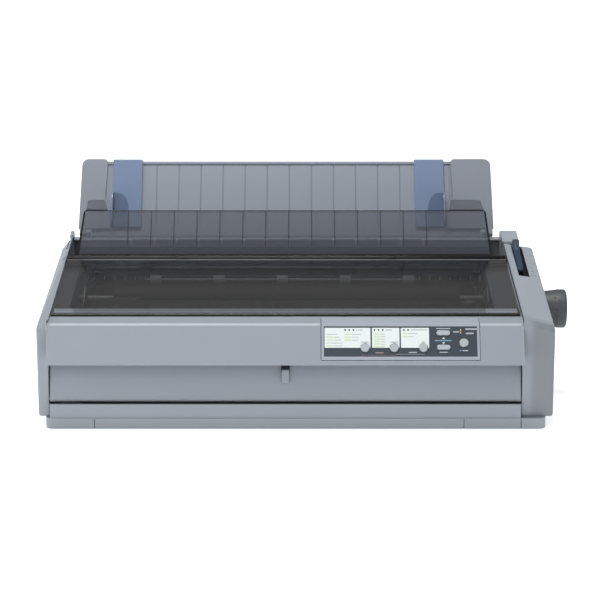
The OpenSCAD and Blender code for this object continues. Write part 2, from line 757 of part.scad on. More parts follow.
// Wing outline: straight outer edge, a step that curves in towards the panel at its foot
module wing(x_out, x_in) {
  s = sign(x_in - x_out);
  polygon(rounded([
    [x_out, 6, 0], [x_out + s * 2, guide_l + 1.8, 9], [x_in, guide_l + 1.8, 5],
    [x_in - s * 2, 50, 14], [x_in + s * 6, 26, 10], [x_in + s * 6, 6, 0]
  ], 6));
}

module paper_support() {
  color(support_grey) {
    on_support() difference() {
      union() {
        // panel behind the wings
        box([support_l + 8, 6, -guide_t], [support_r - 8, guide_l - 2, -1]);
        // foot of the panel between the posts, down to just above the deck
        box([support_l + 20, -3.6, -guide_t], [support_r - 20, 6.5, -1]);
        // top rim
        box([plate_l - 2, guide_l - 5, -guide_t], [plate_r + 2, guide_l - 1, 0.6]);
        translate([0, 0, -1.2]) linear_extrude(3.6) {
          wing(support_l, plate_l);
          wing(support_r, plate_r);
        }
        // hinge lugs at the foot, outside the posts
        for (x = [support_l + 1.6, support_r - 9.6]) along_x(x, x + 8) polygon(rounded([
          [-4.5, -4.5, 4], [-4.5, 4.5, 4], [8, 2.4, 0], [8, -4, 0]
        ]));
      }
      // grooves in the panel
      for (i = [0:grooves - 1]) {
        x = mid_x - 172.6 + i * groove_pitch;
        box([x - 0.6, 12, -1.6], [x + 0.6, guide_l - 6, 1]);
      }
    }
    // pins that turn in the case's posts
    rod_x(support_l + 9, support_l + 16, pivot_y, pivot_z, support_pin_r);
    rod_x(support_r - 16, support_r - 9, pivot_y, pivot_z, support_pin_r);
  }
}

// Edge guide: flat slider on the panel with an upright fin, hooked over the top rim
module edge_guide(x0, fin_side) {
  low = 8;
  x1 = x0 + edge_guide_w;
  fin = fin_side < 0 ? x0 : x1 - 2;
  color(blue) on_support() {
    translate([0, 0, 0.9]) linear_extrude(2.2) polygon(rounded([
      [x0, low, 2], [x1, low, 2], [x1, guide_l + hook_l, 1.5], [x0, guide_l + hook_l, 1.5]
    ]));
    // hook over the rim
    box([x0, guide_l - 0.7, -guide_t - hook_t], [x1, guide_l + hook_l, 1.2]);
    box([x0 + 4, guide_l - 14, -guide_t - hook_t], [x1 - 4, guide_l, -guide_t - seat]);
    // fin that the paper's edge runs against
    along_x(fin, fin + 2) polygon(rounded([
      [low, 2, 0], [low, 18, 10], [52, 18, 14], [58, 2, 0]
    ]));
  }
}

module left_edge_guide() {
  edge_guide(plate_l + 7.4, -1);
}

module right_edge_guide() {
  edge_guide(plate_r - 9.2 - edge_guide_w, 1);
}

// ---------------------------------------------------------------- control panel

// Places of the buttons: across from the panel's left edge, and up the overlay from 0 to 1
function key_places() = [
  for (k = [[51, 0.29], [85, 0.29], [119, 0.29], [142.5, 0.78], [142.5, 0.30], [166.5, 0.45]])
    [panel_l + k[0], overlay_low + k[1] * (overlay_high - overlay_low)]
];

// Outline of a key in the plane of the fascia: round, or a long pill
module key_outline(i, grow = 0) {
  translate(key_places()[i])
    if (i == 3 || i == 4) {
      for (s = [-5.2, 5.2]) translate([s, 0]) circle(2.9 + grow);
      square([10.4, 5.8 + 2 * grow], center = true);
    } else circle(key_r + grow);
}

module control_panel() {
  color(case_grey) difference() {
    union() {
      along_x(panel_l, panel_r) polygon(panel_profile(0, 0.4, 3.8));
      // flange that clips behind the fascia
      on_fascia() box([panel_l - 4, 8.5, -6.4], [panel_r + 4, fascia_l - 9, -4.2]);
      on_fascia() box([panel_l + 1, 9, -5], [panel_r - 1, fascia_l - 10, -3]);
    }
    on_fascia() {
      // pocket of the overlay
      box([panel_l + 3, overlay_low, -0.4], [panel_r - 3, overlay_high, 2]);
      // room for the buttons and their board
      box([panel_l + 6, 11.5, -8], [panel_r - 6, fascia_l - 5, -wall]);
      for (i = [0:5]) translate([0, 0, -wall - 3]) linear_extrude(wall + 6) key_outline(i, 0.35);
    }
  }
}

module panel_overlay() {
  color(dark) on_fascia() difference() {
    box([panel_l + 3.2, overlay_low + 0.2, -0.4], [panel_r - 3.2, overlay_high - 0.2, overlay_t - 0.4]);
    for (i = [0:5]) translate([0, 0, -2]) linear_extrude(4) key_outline(i, 0.35);
  }
}

// A key with its skirt behind the panel
module key(i) {
  color(key_grey) on_fascia() {
    translate([0, 0, -wall - 2]) linear_extrude(wall + 2 + 2.2) key_outline(i);
    translate([0, 0, -wall - 2]) linear_extrude(1.6) key_outline(i, 0.9);
  }
}

module control_board() {
  under = -wall - 9;
  color([0.10, 0.35, 0.20]) on_fascia() {
    box([panel_l - 3, 12.5, under], [panel_r + 3, fascia_l - 6, under + 1.6]);
    for (i = [0:5]) translate([key_places()[i][0], key_places()[i][1], under + 1]) cylinder(h = 4.2, r = 1.8);
    // spacers against the panel's flange
    for (x = [panel_l - 2, panel_r - 2], y = [13, fascia_l - 14])
      translate([x, y, under + 1]) cube([4, 4, -6.4 - under - 1]);
  }
}

// ---------------------------------------------------------------- frames

module chassis() {
  color(steel) difference() {
    box([frame_l, platen_y - 100, chassis_z], [frame_r, rear_y - 10, chassis_top]);
    for (x = [mid_x - 110, mid_x - 20])
      box([x, platen_y - 40, 0], [x + 70, platen_y + 8, 30]);
  }
}

// Outline of a side frame: a steel plate that follows the slope of the case
function side_frame_outline() = rounded([
  [platen_y - 98, chassis_top, 0], [platen_y - 98, platen_z + 2, 6], [platen_y - 40, platen_z + 6, 8],
  [platen_y - 16, platen_z + 20, 6], [platen_y + 50, platen_z + 24, 6], [platen_y + 70, platen_z + 12, 6],
  [tractor_y - 34, platen_z + 10, 3], [tractor_y - 28, tractor_z + 10, 4], [tractor_y + 14, tractor_z + 10, 8],
  [tractor_y + 20, chassis_top, 0]
]);

module side_frame(x0) {
  color(steel) difference() {
    along_x(x0, x0 + steel_t) polygon(side_frame_outline());
    rod_x(x0 - 1, x0 + steel_t + 1, platen_y, platen_z, 9);
    rod_x(x0 - 1, x0 + steel_t + 1, shaft_y, shaft_z, carriage_shaft_r + 0.02);
    rod_x(x0 - 1, x0 + steel_t + 1, tractor_y, tractor_z, 5 + run);
    rod_x(x0 - 1, x0 + steel_t + 1, tractor_rod_y, tractor_z, 3 + 0.02);
    rod_x(x0 - 1, x0 + steel_t + 1, bail_pivot_y, bail_pivot_z, 2.5 + run);
    // lightening windows
    along_x(x0 - 1, x0 + steel_t + 1) polygon(rounded([
      [platen_y - 70, 26, 8], [platen_y - 70, 44, 8], [platen_y - 10, 60, 8], [platen_y - 10, 26, 8]
    ]));
    along_x(x0 - 1, x0 + steel_t + 1) polygon(rounded([
      [platen_y + 72, 30, 8], [platen_y + 72, 104, 8], [tractor_y + 4, 104, 8], [tractor_y + 4, 30, 8]
    ]));
  }
}

module left_side_frame() {
  side_frame(frame_l);
}

module right_side_frame() {
  difference() {
    side_frame(frame_r - steel_t);
    rod_x(frame_r - steel_t - 1, frame_r + 1, motor_y, motor_z, 5);
  }
  // stud of the idler gear
  color(steel) {
    rod_x(frame_r - 0.5, gear_x + gear_t + 1, idler_y, idler_z, 3);
    rod_x(gear_x + gear_t + 0.4, gear_x + gear_t + 1.6, idler_y, idler_z, 4.5);
  }
}

// ---------------------------------------------------------------- platen and paper feed

module platen() {
  color(black) difference() {
    rod_x(mid_x - platen_l / 2, mid_x + platen_l / 2, platen_y, platen_z, platen_r);
    rod_x(mid_x - platen_l, mid_x + platen_l, platen_y, platen_z, platen_shaft_r);
  }
}

module platen_shaft() {
  color(steel) rod_x(frame_l - 8, gear_x + gear_t + 6, platen_y, platen_z, platen_shaft_r);
}

module platen_bushes() {
  color(dark) for (x = [frame_l - 3, frame_r - steel_t - 3]) difference() {
    union() {
      rod_x(x + 3, x + 3 + steel_t, platen_y, platen_z, 9);
      rod_x(x, x + 3, platen_y, platen_z, 11);
    }
    rod_x(x - 1, x + 12, platen_y, platen_z, platen_shaft_r + run);
  }
}

module platen_gear() {
  color([0.85, 0.85, 0.80]) {
    spur_gear(platen_y, platen_z, platen_teeth, platen_shaft_r, platen_turn);
    difference() {
      rod_x(gear_x + gear_t, gear_x + gear_t + 4, platen_y, platen_z, platen_shaft_r + 4);
      rod_x(gear_x, gear_x + gear_t + 5, platen_y, platen_z, platen_shaft_r);
    }
  }
}

module platen_knob() {
  x0 = right_x + 1.5;
  len = knob_reach - 1.5;
  color(dark) difference() {
    translate([x0, knob_y, knob_z]) rotate([0, 90, 0]) rotate_extrude(angle = 360) polygon(rounded([
      [0, 0, 0], [knob_r - 2, 0, 1], [knob_r - 0.5, len * 0.55, 0], [knob_r, len * 0.6, 0],
      [knob_r, len, 3], [0, len, 0]
    ]));
    rod_x(x0 - 1, right_x + 16, knob_y, knob_z, knob_shaft_r);
    // finger flutes
    for (a = [0:20:359]) translate([x0 + len * 0.12, knob_y, knob_z]) rotate([a, 0, 0])
      translate([0, 0, knob_r + 0.6]) rotate([0, 90, 0]) cylinder(h = len * 0.38, r = 1.7);
  }
}

module knob_shaft() {
  color(steel) {
    rod_x(frame_r + 2, right_x + 16, knob_y, knob_z, knob_shaft_r);
    spur_gear(knob_y, knob_z, knob_teeth, 2, knob_turn);
  }
}

module idler_gear() {
  color([0.85, 0.85, 0.80]) spur_gear(idler_y, idler_z, idler_teeth, 3 + run, idler_turn);
}

module paper_feed_motor() {
  color(dark) {
    rod_x(frame_r - steel_t - 28, frame_r - steel_t - 2, motor_y, motor_z, 19);
    box([frame_r - steel_t - 2, motor_y - 25, motor_z - 21], [frame_r - steel_t, motor_y + 25, motor_z + 21]);
  }
}

module motor_pinion() {
  color(steel) {
    spur_gear(motor_y, motor_z, pinion_teeth, 1.5, pinion_turn);
    rod_x(frame_r - steel_t + 0.3, gear_x + gear_t, motor_y, motor_z, 2);
  }
}

// ---------------------------------------------------------------- carriage

module carriage_shaft() {
  color(steel) rod_x(frame_l, frame_r, shaft_y, shaft_z, carriage_shaft_r);
}

// Bent sheet rail that the carriage's front foot runs on
module carriage_rail() {
  y = shaft_y - 34;
  color(steel) along_x(frame_l + steel_t, frame_r - steel_t) polygon([
    [y, shaft_z - 26], [y + steel_t, shaft_z - 26], [y + steel_t, shaft_z - 8 - steel_t], [y + 14, shaft_z - 8 - steel_t],
    [y + 14, shaft_z - 8], [y, shaft_z - 8]
  ]);
}

module print_carriage() {
  x = mid_x + head_home;
  h = carriage_w / 2;
  color(black) difference() {
    union() {
      // saddle round the shaft
      along_x(x - h, x + h) polygon(rounded([
        [shaft_y - 11, shaft_z - 11, 4], [shaft_y - 11, shaft_z + 8, 0], [shaft_y - 30, shaft_z + 6, 2],
        [shaft_y - 30, shaft_z + 12, 2], [shaft_y - 8, shaft_z + 21, 3], [shaft_y + 22, shaft_z + 21, 3],
        [shaft_y + 22, shaft_z + 4, 3], [shaft_y + 11, shaft_z - 11, 4]
      ]));
      // front foot on the rail
      box([x - 10, shaft_y - 31, shaft_z - 8 + seat], [x + 10, shaft_y - 21, shaft_z + 8]);
      // belt clamp
      box([x - 9, belt_y + belt_pulley_r - 4, belt_z + 6 + seat], [x + 9, shaft_y - 4, shaft_z - 8]);
    }
    rod_x(x - h - 1, x + h + 1, shaft_y, shaft_z, carriage_shaft_r + run);
  }
}

module print_head() {
  x = mid_x + head_home;
  front = platen_y - platen_r;
  color(dark) {
    difference() {
      box([x - 21, shaft_y - 6, shaft_z + 21], [x + 21, front - 12, platen_z + 10]);
      // cooling fins
      for (i = [0:6]) box([x - 18.5 + i * 5.6, shaft_y - 7, shaft_z + 33], [x - 15.5 + i * 5.6, front - 20, platen_z + 11]);
    }
    along_x(x - 9, x + 9) polygon([
      [front - 12, platen_z - 14], [front - 1.8, platen_z - 5], [front - 1.8, platen_z + 5], [front - 12, platen_z + 9]
    ]);
  }
}

module ribbon_cartridge() {
  y0 = cartridge_y;
  y1 = y0 + cartridge_d;
  front = platen_y - platen_r;
  color(black) {
    difference() {
      translate([0, 0, ribbon_z]) linear_extrude(22) round_rect([mid_x - ribbon_half, y0], [mid_x + ribbon_half, y1], 5);
      // shallow panels moulded in the top
      for (s = [-1, 1]) translate([0, 0, ribbon_z + 21]) linear_extrude(2)
        round_rect([mid_x + s * 112 - 96, y0 + 5], [mid_x + s * 112 + 96, y1 - 6], 3);
      translate([mid_x + ribbon_half - 14, y0 + 18, ribbon_z + 8]) cylinder(h = 20, r = 3 + run);
    }
    for (s = [-1, 1]) {
      difference() {
        ribbon_arm(mid_x + s * (ribbon_half - 6), y1 - 3, front + 1);
        box([mid_x - ribbon_half + 6.6, front - 1.5, ribbon_z + 0.7], [mid_x + ribbon_half - 6.6, front - 0.6, ribbon_z + 20]);
      }
      // peg that rests on the side frame
      x = mid_x + s * (ribbon_half - 1);
      box([min(x, mid_x + s * (frame_half - steel_t)), y0 + 12, ribbon_z + 3],
          [max(x, mid_x + s * (frame_half - steel_t)), y0 + 26, ribbon_z + 9]);
    }
  }
}

// Arm of the cartridge that carries the ribbon to the platen
module ribbon_arm(x, y0, y1) {
  translate([0, 0, ribbon_z]) linear_extrude(14)
    polygon(rounded([[x - 6, y0, 0], [x + 6, y0, 0], [x + 5, y1, 3], [x - 5, y1, 3]], 3));
}

module ribbon() {
  front = platen_y - platen_r;
  color([0.05, 0.05, 0.06])
    box([mid_x - ribbon_half + 7, front - 1.2, ribbon_z + 1], [mid_x + ribbon_half - 7, front - 0.9, ribbon_z + 13]);
}

module ribbon_knob() {
  x = mid_x + ribbon_half - 14;
  y = cartridge_y + 18;
  color(dark) {
    difference() {
      translate([x, y, ribbon_z + 22.3]) cylinder(h = 3.6, r = 8);
      for (a = [0:45:359]) rotate_about(x, y, a) translate([x + 8.6, y, ribbon_z + 22]) cylinder(h = 6, r = 1.6);
    }
    translate([x, y, ribbon_z + 9]) cylinder(h = 13.3, r = 3);
  }
}

module rotate_about(x, y, a) {
  translate([x, y, 0]) rotate(a) translate([-x, -y, 0]) children();
}

belt_l = frame_l + 34;
belt_r = frame_r - 20;

module carriage_motor() {
  body = belt_z - 5 - chassis_top;
  color(dark) {
    translate([belt_l, belt_y, chassis_top]) cylinder(h = body, r = 20);
    translate([belt_l, belt_y, chassis_top + body - 0.5]) cylinder(h = 14, r = 2.5);
    translate([belt_l, belt_y, belt_z]) difference() {
      cylinder(h = 6, r = belt_pulley_r - 1);
      translate([0, 0, -1]) cylinder(h = 8, r = 2);
    }
  }
}

module drive_belt() {
  color(black) translate([0, 0, belt_z]) linear_extrude(6) difference() {
    belt_outline(belt_pulley_r);
    belt_outline(belt_pulley_r - 1);
  }
}

module belt_outline(r) {
  translate([belt_l, belt_y]) circle(r);
  translate([belt_r, belt_y]) circle(r);
  translate([belt_l, belt_y - r]) square([belt_r - belt_l, 2 * r]);
}

module belt_idler() {
  color(steel) {
    translate([belt_r, belt_y, belt_z]) difference() {
      cylinder(h = 6, r = belt_pulley_r - 1);
      translate([0, 0, -1]) cylinder(h = 8, r = 1.5);
    }
    translate([belt_r, belt_y, chassis_top + 1]) cylinder(h = belt_z + 7 - chassis_top - 1, r = 2);
    box([belt_r - 10, belt_y - 8, chassis_top], [belt_r + 10, belt_y + 8, chassis_top + 2]);
  }
}

// ---------------------------------------------------------------- bail, tear-off bar, lever

function bail_roller_x(i) = mid_x - 5 + (i - (bail_rollers_n - 1) / 2) * 79;

module paper_bail() {
  color(steel) {
    rod_x(mid_x - bail_arm, mid_x + bail_arm, bail_y, bail_z, bail_rod_r);
    for (s = [-1, 1]) {
      x = mid_x + s * bail_arm;
      along_x(x - 1, x + 1) polygon(bail_arm_outline());
      rod_x(min(x, x + s * 7.8), max(x, x + s * 7.8), bail_pivot_y, bail_pivot_z, 2.5);
    }
    // scale bar behind the rod
    box([mid_x - bail_arm, bail_y + 6.4, bail_z - 3], [mid_x + bail_arm, bail_y + 7.2, bail_z + 3]);
  }
}

function bail_arm_outline() = rounded([
  [bail_y - 4, bail_z - 3, 2], [bail_y - 3, bail_z + 3.6, 2], [bail_y + 9, bail_z + 3.6, 2],
  [bail_pivot_y + 5, bail_pivot_z + 3, 2], [bail_pivot_y + 4, bail_pivot_z - 5, 2], [bail_pivot_y - 5, bail_pivot_z - 3, 2]
], 3);

module bail_rollers() {
  color(dark) for (i = [0:bail_rollers_n - 1]) difference() {
    rod_x(bail_roller_x(i) - 7, bail_roller_x(i) + 7, bail_y, bail_z, bail_roller_r);
    rod_x(bail_roller_x(i) - 8, bail_roller_x(i) + 8, bail_y, bail_z, bail_rod_r + run);
  }
}

// Ribbed guide behind the platen with the serrated edge that paper is torn on
module tear_off_bar() {
  y0 = platen_y + 22;
  y1 = tractor_rod_y - 22;
  z0 = platen_z + 2;
  z1 = tractor_z + 8;
  half = bail_arm - 4;
  color(dark) {
    along_x(mid_x - half, mid_x + half) polygon([[y0, z0], [y1, z1], [y1, z1 - 2.4], [y0, z0 - 2.4]]);
    for (i = [0:rear_ribs - 1]) {
      x = mid_x - 203 + i * rear_rib_pitch;
      along_x(x - 0.8, x + 0.8) polygon([[y0, z0 - 1], [y0 + 4, z0 + 5], [y1 - 3, z1 + 3], [y1, z1 - 1]]);
    }
    // lugs on the side frames
    for (s = [-1, 1]) {
      x = mid_x + s * half;
      box([min(x - s, mid_x + s * (frame_half - steel_t)), bail_pivot_y + 8, platen_z + 6],
          [max(x - s, mid_x + s * (frame_half - steel_t)), bail_pivot_y + 18, platen_z + 11]);
    }
  }
}

module release_lever() {
  color(blue) difference() {
    union() {
      along_x(lever_x, lever_x + lever_t) polygon(rounded([
        [lever_y - 8, lever_z + 2, 2], [lever_y - 32, lever_z + 33, 4], [lever_y + 20, lever_z + 46, 4],
        [lever_y + 32, lever_z + 57, 3], [lever_y + 42, lever_z + 56, 4], [lever_y + 40, lever_z + 46, 4],
        [lever_y + 26, lever_z + 30, 8], [lever_y + 9, lever_z, 2]
      ]));
      rod_x(lever_x, lever_x + lever_t, lever_y, lever_z, 9);
    }
    rod_x(lever_x - 1, lever_x + lever_t + 1, lever_y, lever_z, 3 + run);
  }
}

// ---------------------------------------------------------------- tractors

module tractor_shafts() {
  color(steel) {
    rod_x(frame_l, frame_r, tractor_y, tractor_z, 5);
    rod_x(frame_l, frame_r, tractor_rod_y, tractor_z, 3);
  }
}

// Tractor: body that slides on the two shafts, with its pin belt
module tractor(x0, inner) {
  w = tractor_half;
  z1 = tractor_z + 13;
  pin_x = inner > 0 ? x0 + w - 4 : x0 + 4;
  hinge = inner > 0 ? x0 + 2 : x0 + w - 2;
  color(dark) difference() {
    union() {
      along_x(x0, x0 + w) polygon(rounded([
        [tractor_rod_y - 14, tractor_z - 9, 8], [tractor_rod_y - 14, z1, 6], [tractor_y + 16, z1, 6], [tractor_y + 16, tractor_z - 9, 8]
      ]));
      // pins of the feed belt
      for (i = [0:4]) translate([pin_x, flap_y0 + 5.4 + i * 6.4, z1 - 0.2]) cylinder(h = 1.8, r1 = 1.5, r2 = 0.9);
      // lugs of the flap's hinge
      for (y = [flap_y0 - 3.4, flap_y1 + 0.4]) box([hinge - 2, y, z1 - 1], [hinge + 2, y + 3, z1 + 4]);
    }
    rod_x(x0 - 1, x0 + w + 1, tractor_y, tractor_z, 5 + run);
    rod_x(x0 - 1, x0 + w + 1, tractor_rod_y, tractor_z, 3 + run);
    rod_y(hinge, flap_y0 - 5, flap_y1 + 5, z1 + 2.2, 1 + run);
  }
}

module left_tractor() {
  tractor(left_tractor_x, 1);
}

module right_tractor() {
  tractor(right_tractor_x, -1);
}

// Flap over a tractor's pins, hinged at its outer edge
module tractor_flap(x0, inner) {
  z = tractor_z + 15.2;
  hinge = inner > 0 ? x0 + 2 : x0 + tractor_half - 2;
  low = inner > 0 ? hinge : hinge - 18;
  pin_x = inner > 0 ? x0 + tractor_half - 4 : x0 + 4;
  color(black) difference() {
    union() {
      box([low, flap_y0, z - 0.9], [low + 18, flap_y1, z + 0.9]);
      rod_y(hinge, flap_y0, flap_y1, z, 1.6);
      rod_y(hinge, flap_y0 - 2.8, flap_y1 + 2.8, z, 1);
    }
    // slot over the pins
    box([pin_x - 2.2, flap_y0 + 3, z - 2], [pin_x + 2.2, flap_y1 - 2, z + 2]);
  }
}

module left_tractor_flap() {
  tractor_flap(left_tractor_x, 1);
}

module right_tractor_flap() {
  tractor_flap(right_tractor_x, -1);
}

// ---------------------------------------------------------------- electrics

module main_board() {
  z0 = chassis_top + 4;
  color([0.10, 0.35, 0.20]) {
    box([path_r - 200, rear_y - 120, z0], [frame_r - 8, rear_y - 22, z0 + 1.6]);
    for (x = [path_r - 190, frame_r - 20], y = [rear_y - 112, rear_y - 32])
      translate([x, y, z0 - 4]) cylinder(h = 4, r = 3);
    box([path_r - 150, rear_y - 100, z0 + 1.6], [path_r - 122, rear_y - 72, z0 + 4]);
    box([path_r - 110, rear_y - 90, z0 + 1.6], [path_r - 90, rear_y - 76, z0 + 4.5]);
  }
}

module power_supply() {
  z0 = chassis_top;
  color(steel) box([frame_l + 10, rear_y - 130, z0], [frame_l + 110, rear_y - 24, z0 + 40]);
}

module power_inlet() {
  x0 = path_l + 40;
  color(black) difference() {
    union() {
      box([x0 + gap, rear_y - wall - 20, 30 + gap], [x0 + 48 - gap, rear_y, 62 - gap]);
      box([x0 - 2, rear_y, 28], [x0 + 50, rear_y + 2, 64]);
    }
    box([x0 + 11, rear_y - 16, 36], [x0 + 37, rear_y + 3, 55]);
  }
}

module interface_sockets() {
  x0 = path_r - 190;
  color(dark) difference() {
    union() {
      box([x0 + gap, rear_y - wall - 2, 26 + gap], [x0 + 140 - gap, rear_y - 1, 62 - gap]);
      box([x0 + 10, rear_y - 1, 36], [x0 + 72, rear_y + 3, 52]);
      box([x0 + 90, rear_y - 1, 38], [x0 + 106, rear_y + 2, 52]);
    }
    box([x0 + 14, rear_y - 3, 39], [x0 + 68, rear_y + 4, 49]);
    box([x0 + 92.5, rear_y - 3, 40.5], [x0 + 103.5, rear_y + 3, 49.5]);
  }
}

module switch_housing() {
  x1 = left_x + left_block - wall - seat;
  y0 = switch_y - 15.7;
  y1 = switch_y + 15.7;
  z0 = switch_z - 10.7;
  z1 = switch_z + 10.7;
  color(black) difference() {
    union() {
      box([left_x, y0, z0], [x1, y1, z1]);
      // flange behind the case wall
      box([left_x + wall, y0 - 2, z0 - 2], [left_x + wall + 1.5, y1 + 2, z1 + 2]);
    }
    box([left_x - 1, y0 + 2, z0 + 2], [x1 - 1.2, y1 - 2, z1 - 2]);
    translate([left_x + 5, switch_y, z0 + 0.5]) cylinder(h = z1 - z0 - 1, r = 1.5 + run);
  }
}

module power_switch() {
  // rocker with two faces, one pressed in
  color(dark) translate([left_x + 5, switch_y, switch_z]) {
    translate([0, 0, -8.4]) linear_extrude(16.8) rotate(-5) polygon(rounded([
      [-2.5, -12.8, 0.6], [-4.2, 0, 0], [-2.5, 12.8, 0.6], [1, 12.8, 0.6], [3, 0, 2], [1, -12.8, 0.6]
    ]));
    translate([0, 0, -9.8]) cylinder(h = 19.6, r = 1.5);
  }
}

// ---------------------------------------------------------------- nodes

placed() lower_case();
placed() upper_case();
placed() rubber_feet();
placed() case_screws();
placed() front_cover();
placed() front_cover_latch();
placed() printer_cover();
placed() cover_hinge_strip();
placed() hinge_rod();
placed() rear_cover();
placed() rear_cover_knuckles();
placed() paper_support();
placed() left_edge_guide();
placed() right_edge_guide();
placed() control_panel();
placed() panel_overlay();
placed() key(0);  // font_button
placed() key(1);  // pitch_button
placed() key(2);  // tear_off_button
placed() key(3);  // upper_adjust_button
placed() key(4);  // lower_adjust_button
placed() key(5);  // pause_button
placed() control_board();
placed() chassis();
placed() left_side_frame();
placed() right_side_frame();
placed() platen();
placed() platen_shaft();
placed() platen_bushes();
placed() platen_gear();
placed() platen_knob();
placed() knob_shaft();
placed() idler_gear();
placed() paper_feed_motor();
placed() motor_pinion();
placed() carriage_shaft();
placed() carriage_rail();
placed() print_carriage();
placed() print_head();
placed() ribbon_cartridge();
placed() ribbon();
placed() ribbon_knob();
placed() carriage_motor();
placed() drive_belt();
placed() belt_idler();
placed() paper_bail();
placed() bail_rollers();
placed() tear_off_bar();
placed() release_lever();
placed() tractor_shafts();
placed() left_tractor();
placed() right_tractor();
placed() left_tractor_flap();
placed() right_tractor_flap();
placed() main_board();
placed() power_supply();
placed() power_inlet();
placed() switch_housing();
placed() power_switch();
placed() interface_sockets();
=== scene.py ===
import json
import math
import bmesh
import bpy
import numpy as np
from mathutils.bvhtree import BVHTree
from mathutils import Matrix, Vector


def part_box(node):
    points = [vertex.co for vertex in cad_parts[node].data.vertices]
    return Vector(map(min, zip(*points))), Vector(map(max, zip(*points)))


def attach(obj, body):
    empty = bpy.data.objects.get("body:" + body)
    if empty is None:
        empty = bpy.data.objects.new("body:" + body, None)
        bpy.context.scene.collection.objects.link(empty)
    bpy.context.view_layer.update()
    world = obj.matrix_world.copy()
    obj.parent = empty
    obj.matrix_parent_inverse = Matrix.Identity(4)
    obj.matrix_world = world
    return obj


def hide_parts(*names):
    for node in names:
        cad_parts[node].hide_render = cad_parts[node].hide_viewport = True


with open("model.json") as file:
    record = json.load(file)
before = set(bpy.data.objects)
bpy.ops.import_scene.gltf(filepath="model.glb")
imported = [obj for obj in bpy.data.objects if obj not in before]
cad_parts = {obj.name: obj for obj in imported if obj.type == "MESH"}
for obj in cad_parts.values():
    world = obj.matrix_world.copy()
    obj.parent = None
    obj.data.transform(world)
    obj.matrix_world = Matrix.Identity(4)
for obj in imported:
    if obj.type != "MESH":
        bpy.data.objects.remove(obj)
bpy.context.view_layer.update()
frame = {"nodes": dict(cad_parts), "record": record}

# ---- Floor and backdrop
# A wide sheet of pale paper that the printer stands on; it runs on far behind the
# printer, so that it also makes the background.


def surface(name, rows, round_u=False, round_v=False, low_cap=False, high_cap=False):
    """Quads over a grid of points: rows is an array (rows, columns, 3). round_v joins each row's
    last point to its first and round_u the last row to the first; a cap closes an end row."""
    rows = np.asarray(rows, float)
    n, m = rows.shape[:2]
    index = np.arange(n * m).reshape(n, m)
    a = index if round_u else index[:-1]
    b = np.roll(index, -1, axis=0) if round_u else index[1:]
    if not round_v:
        quads = np.stack([a[:, :-1], a[:, 1:], b[:, 1:], b[:, :-1]], -1).reshape(-1, 4)
    else:
        quads = np.stack([a, np.roll(a, -1, 1), np.roll(b, -1, 1), b], -1).reshape(-1, 4)
    faces = quads.tolist()
    if low_cap:
        faces.append(index[0, ::-1].tolist())
    if high_cap:
        faces.append(index[-1].tolist())
    mesh = bpy.data.meshes.new(name)
    mesh.from_pydata(rows.reshape(-1, 3), [], faces)
    mesh.validate()
    piece = bpy.data.objects.new(name, mesh)
    bpy.context.scene.collection.objects.link(piece)
    return piece


floor_half = 14                    # metres from the middle of the sheet to its edge
u, v = np.meshgrid(np.linspace(-1, 1, 9), np.linspace(-1, 1, 9))
floor = surface("floor", floor_half * np.stack([u, v, u * 0], -1))


def math_node(kind, reflected=False):
    """A method that adds one Math node; the reflected form, as in 1 - mask, puts the socket last."""
    def method(tap, *others):
        values = (*others, tap) if reflected else (tap, *others)
        return tap.finish.node("ShaderNodeMath", {"operation": kind}, dict(enumerate(values)))
    return method


class Tap:
    """A shader socket that can be calculated with: each operation adds the Math node for it."""

    def __init__(self, finish, out):
        self.finish, self.out = finish, out

    __add__ = __radd__ = math_node("ADD")
    __sub__ = math_node("SUBTRACT")
    __rsub__ = math_node("SUBTRACT", reflected=True)
    __mul__ = __rmul__ = math_node("MULTIPLY")
    __gt__ = math_node("GREATER_THAN")
    __lt__ = math_node("LESS_THAN")
    __mod__ = math_node("FLOORED_MODULO")
    __abs__ = math_node("ABSOLUTE")


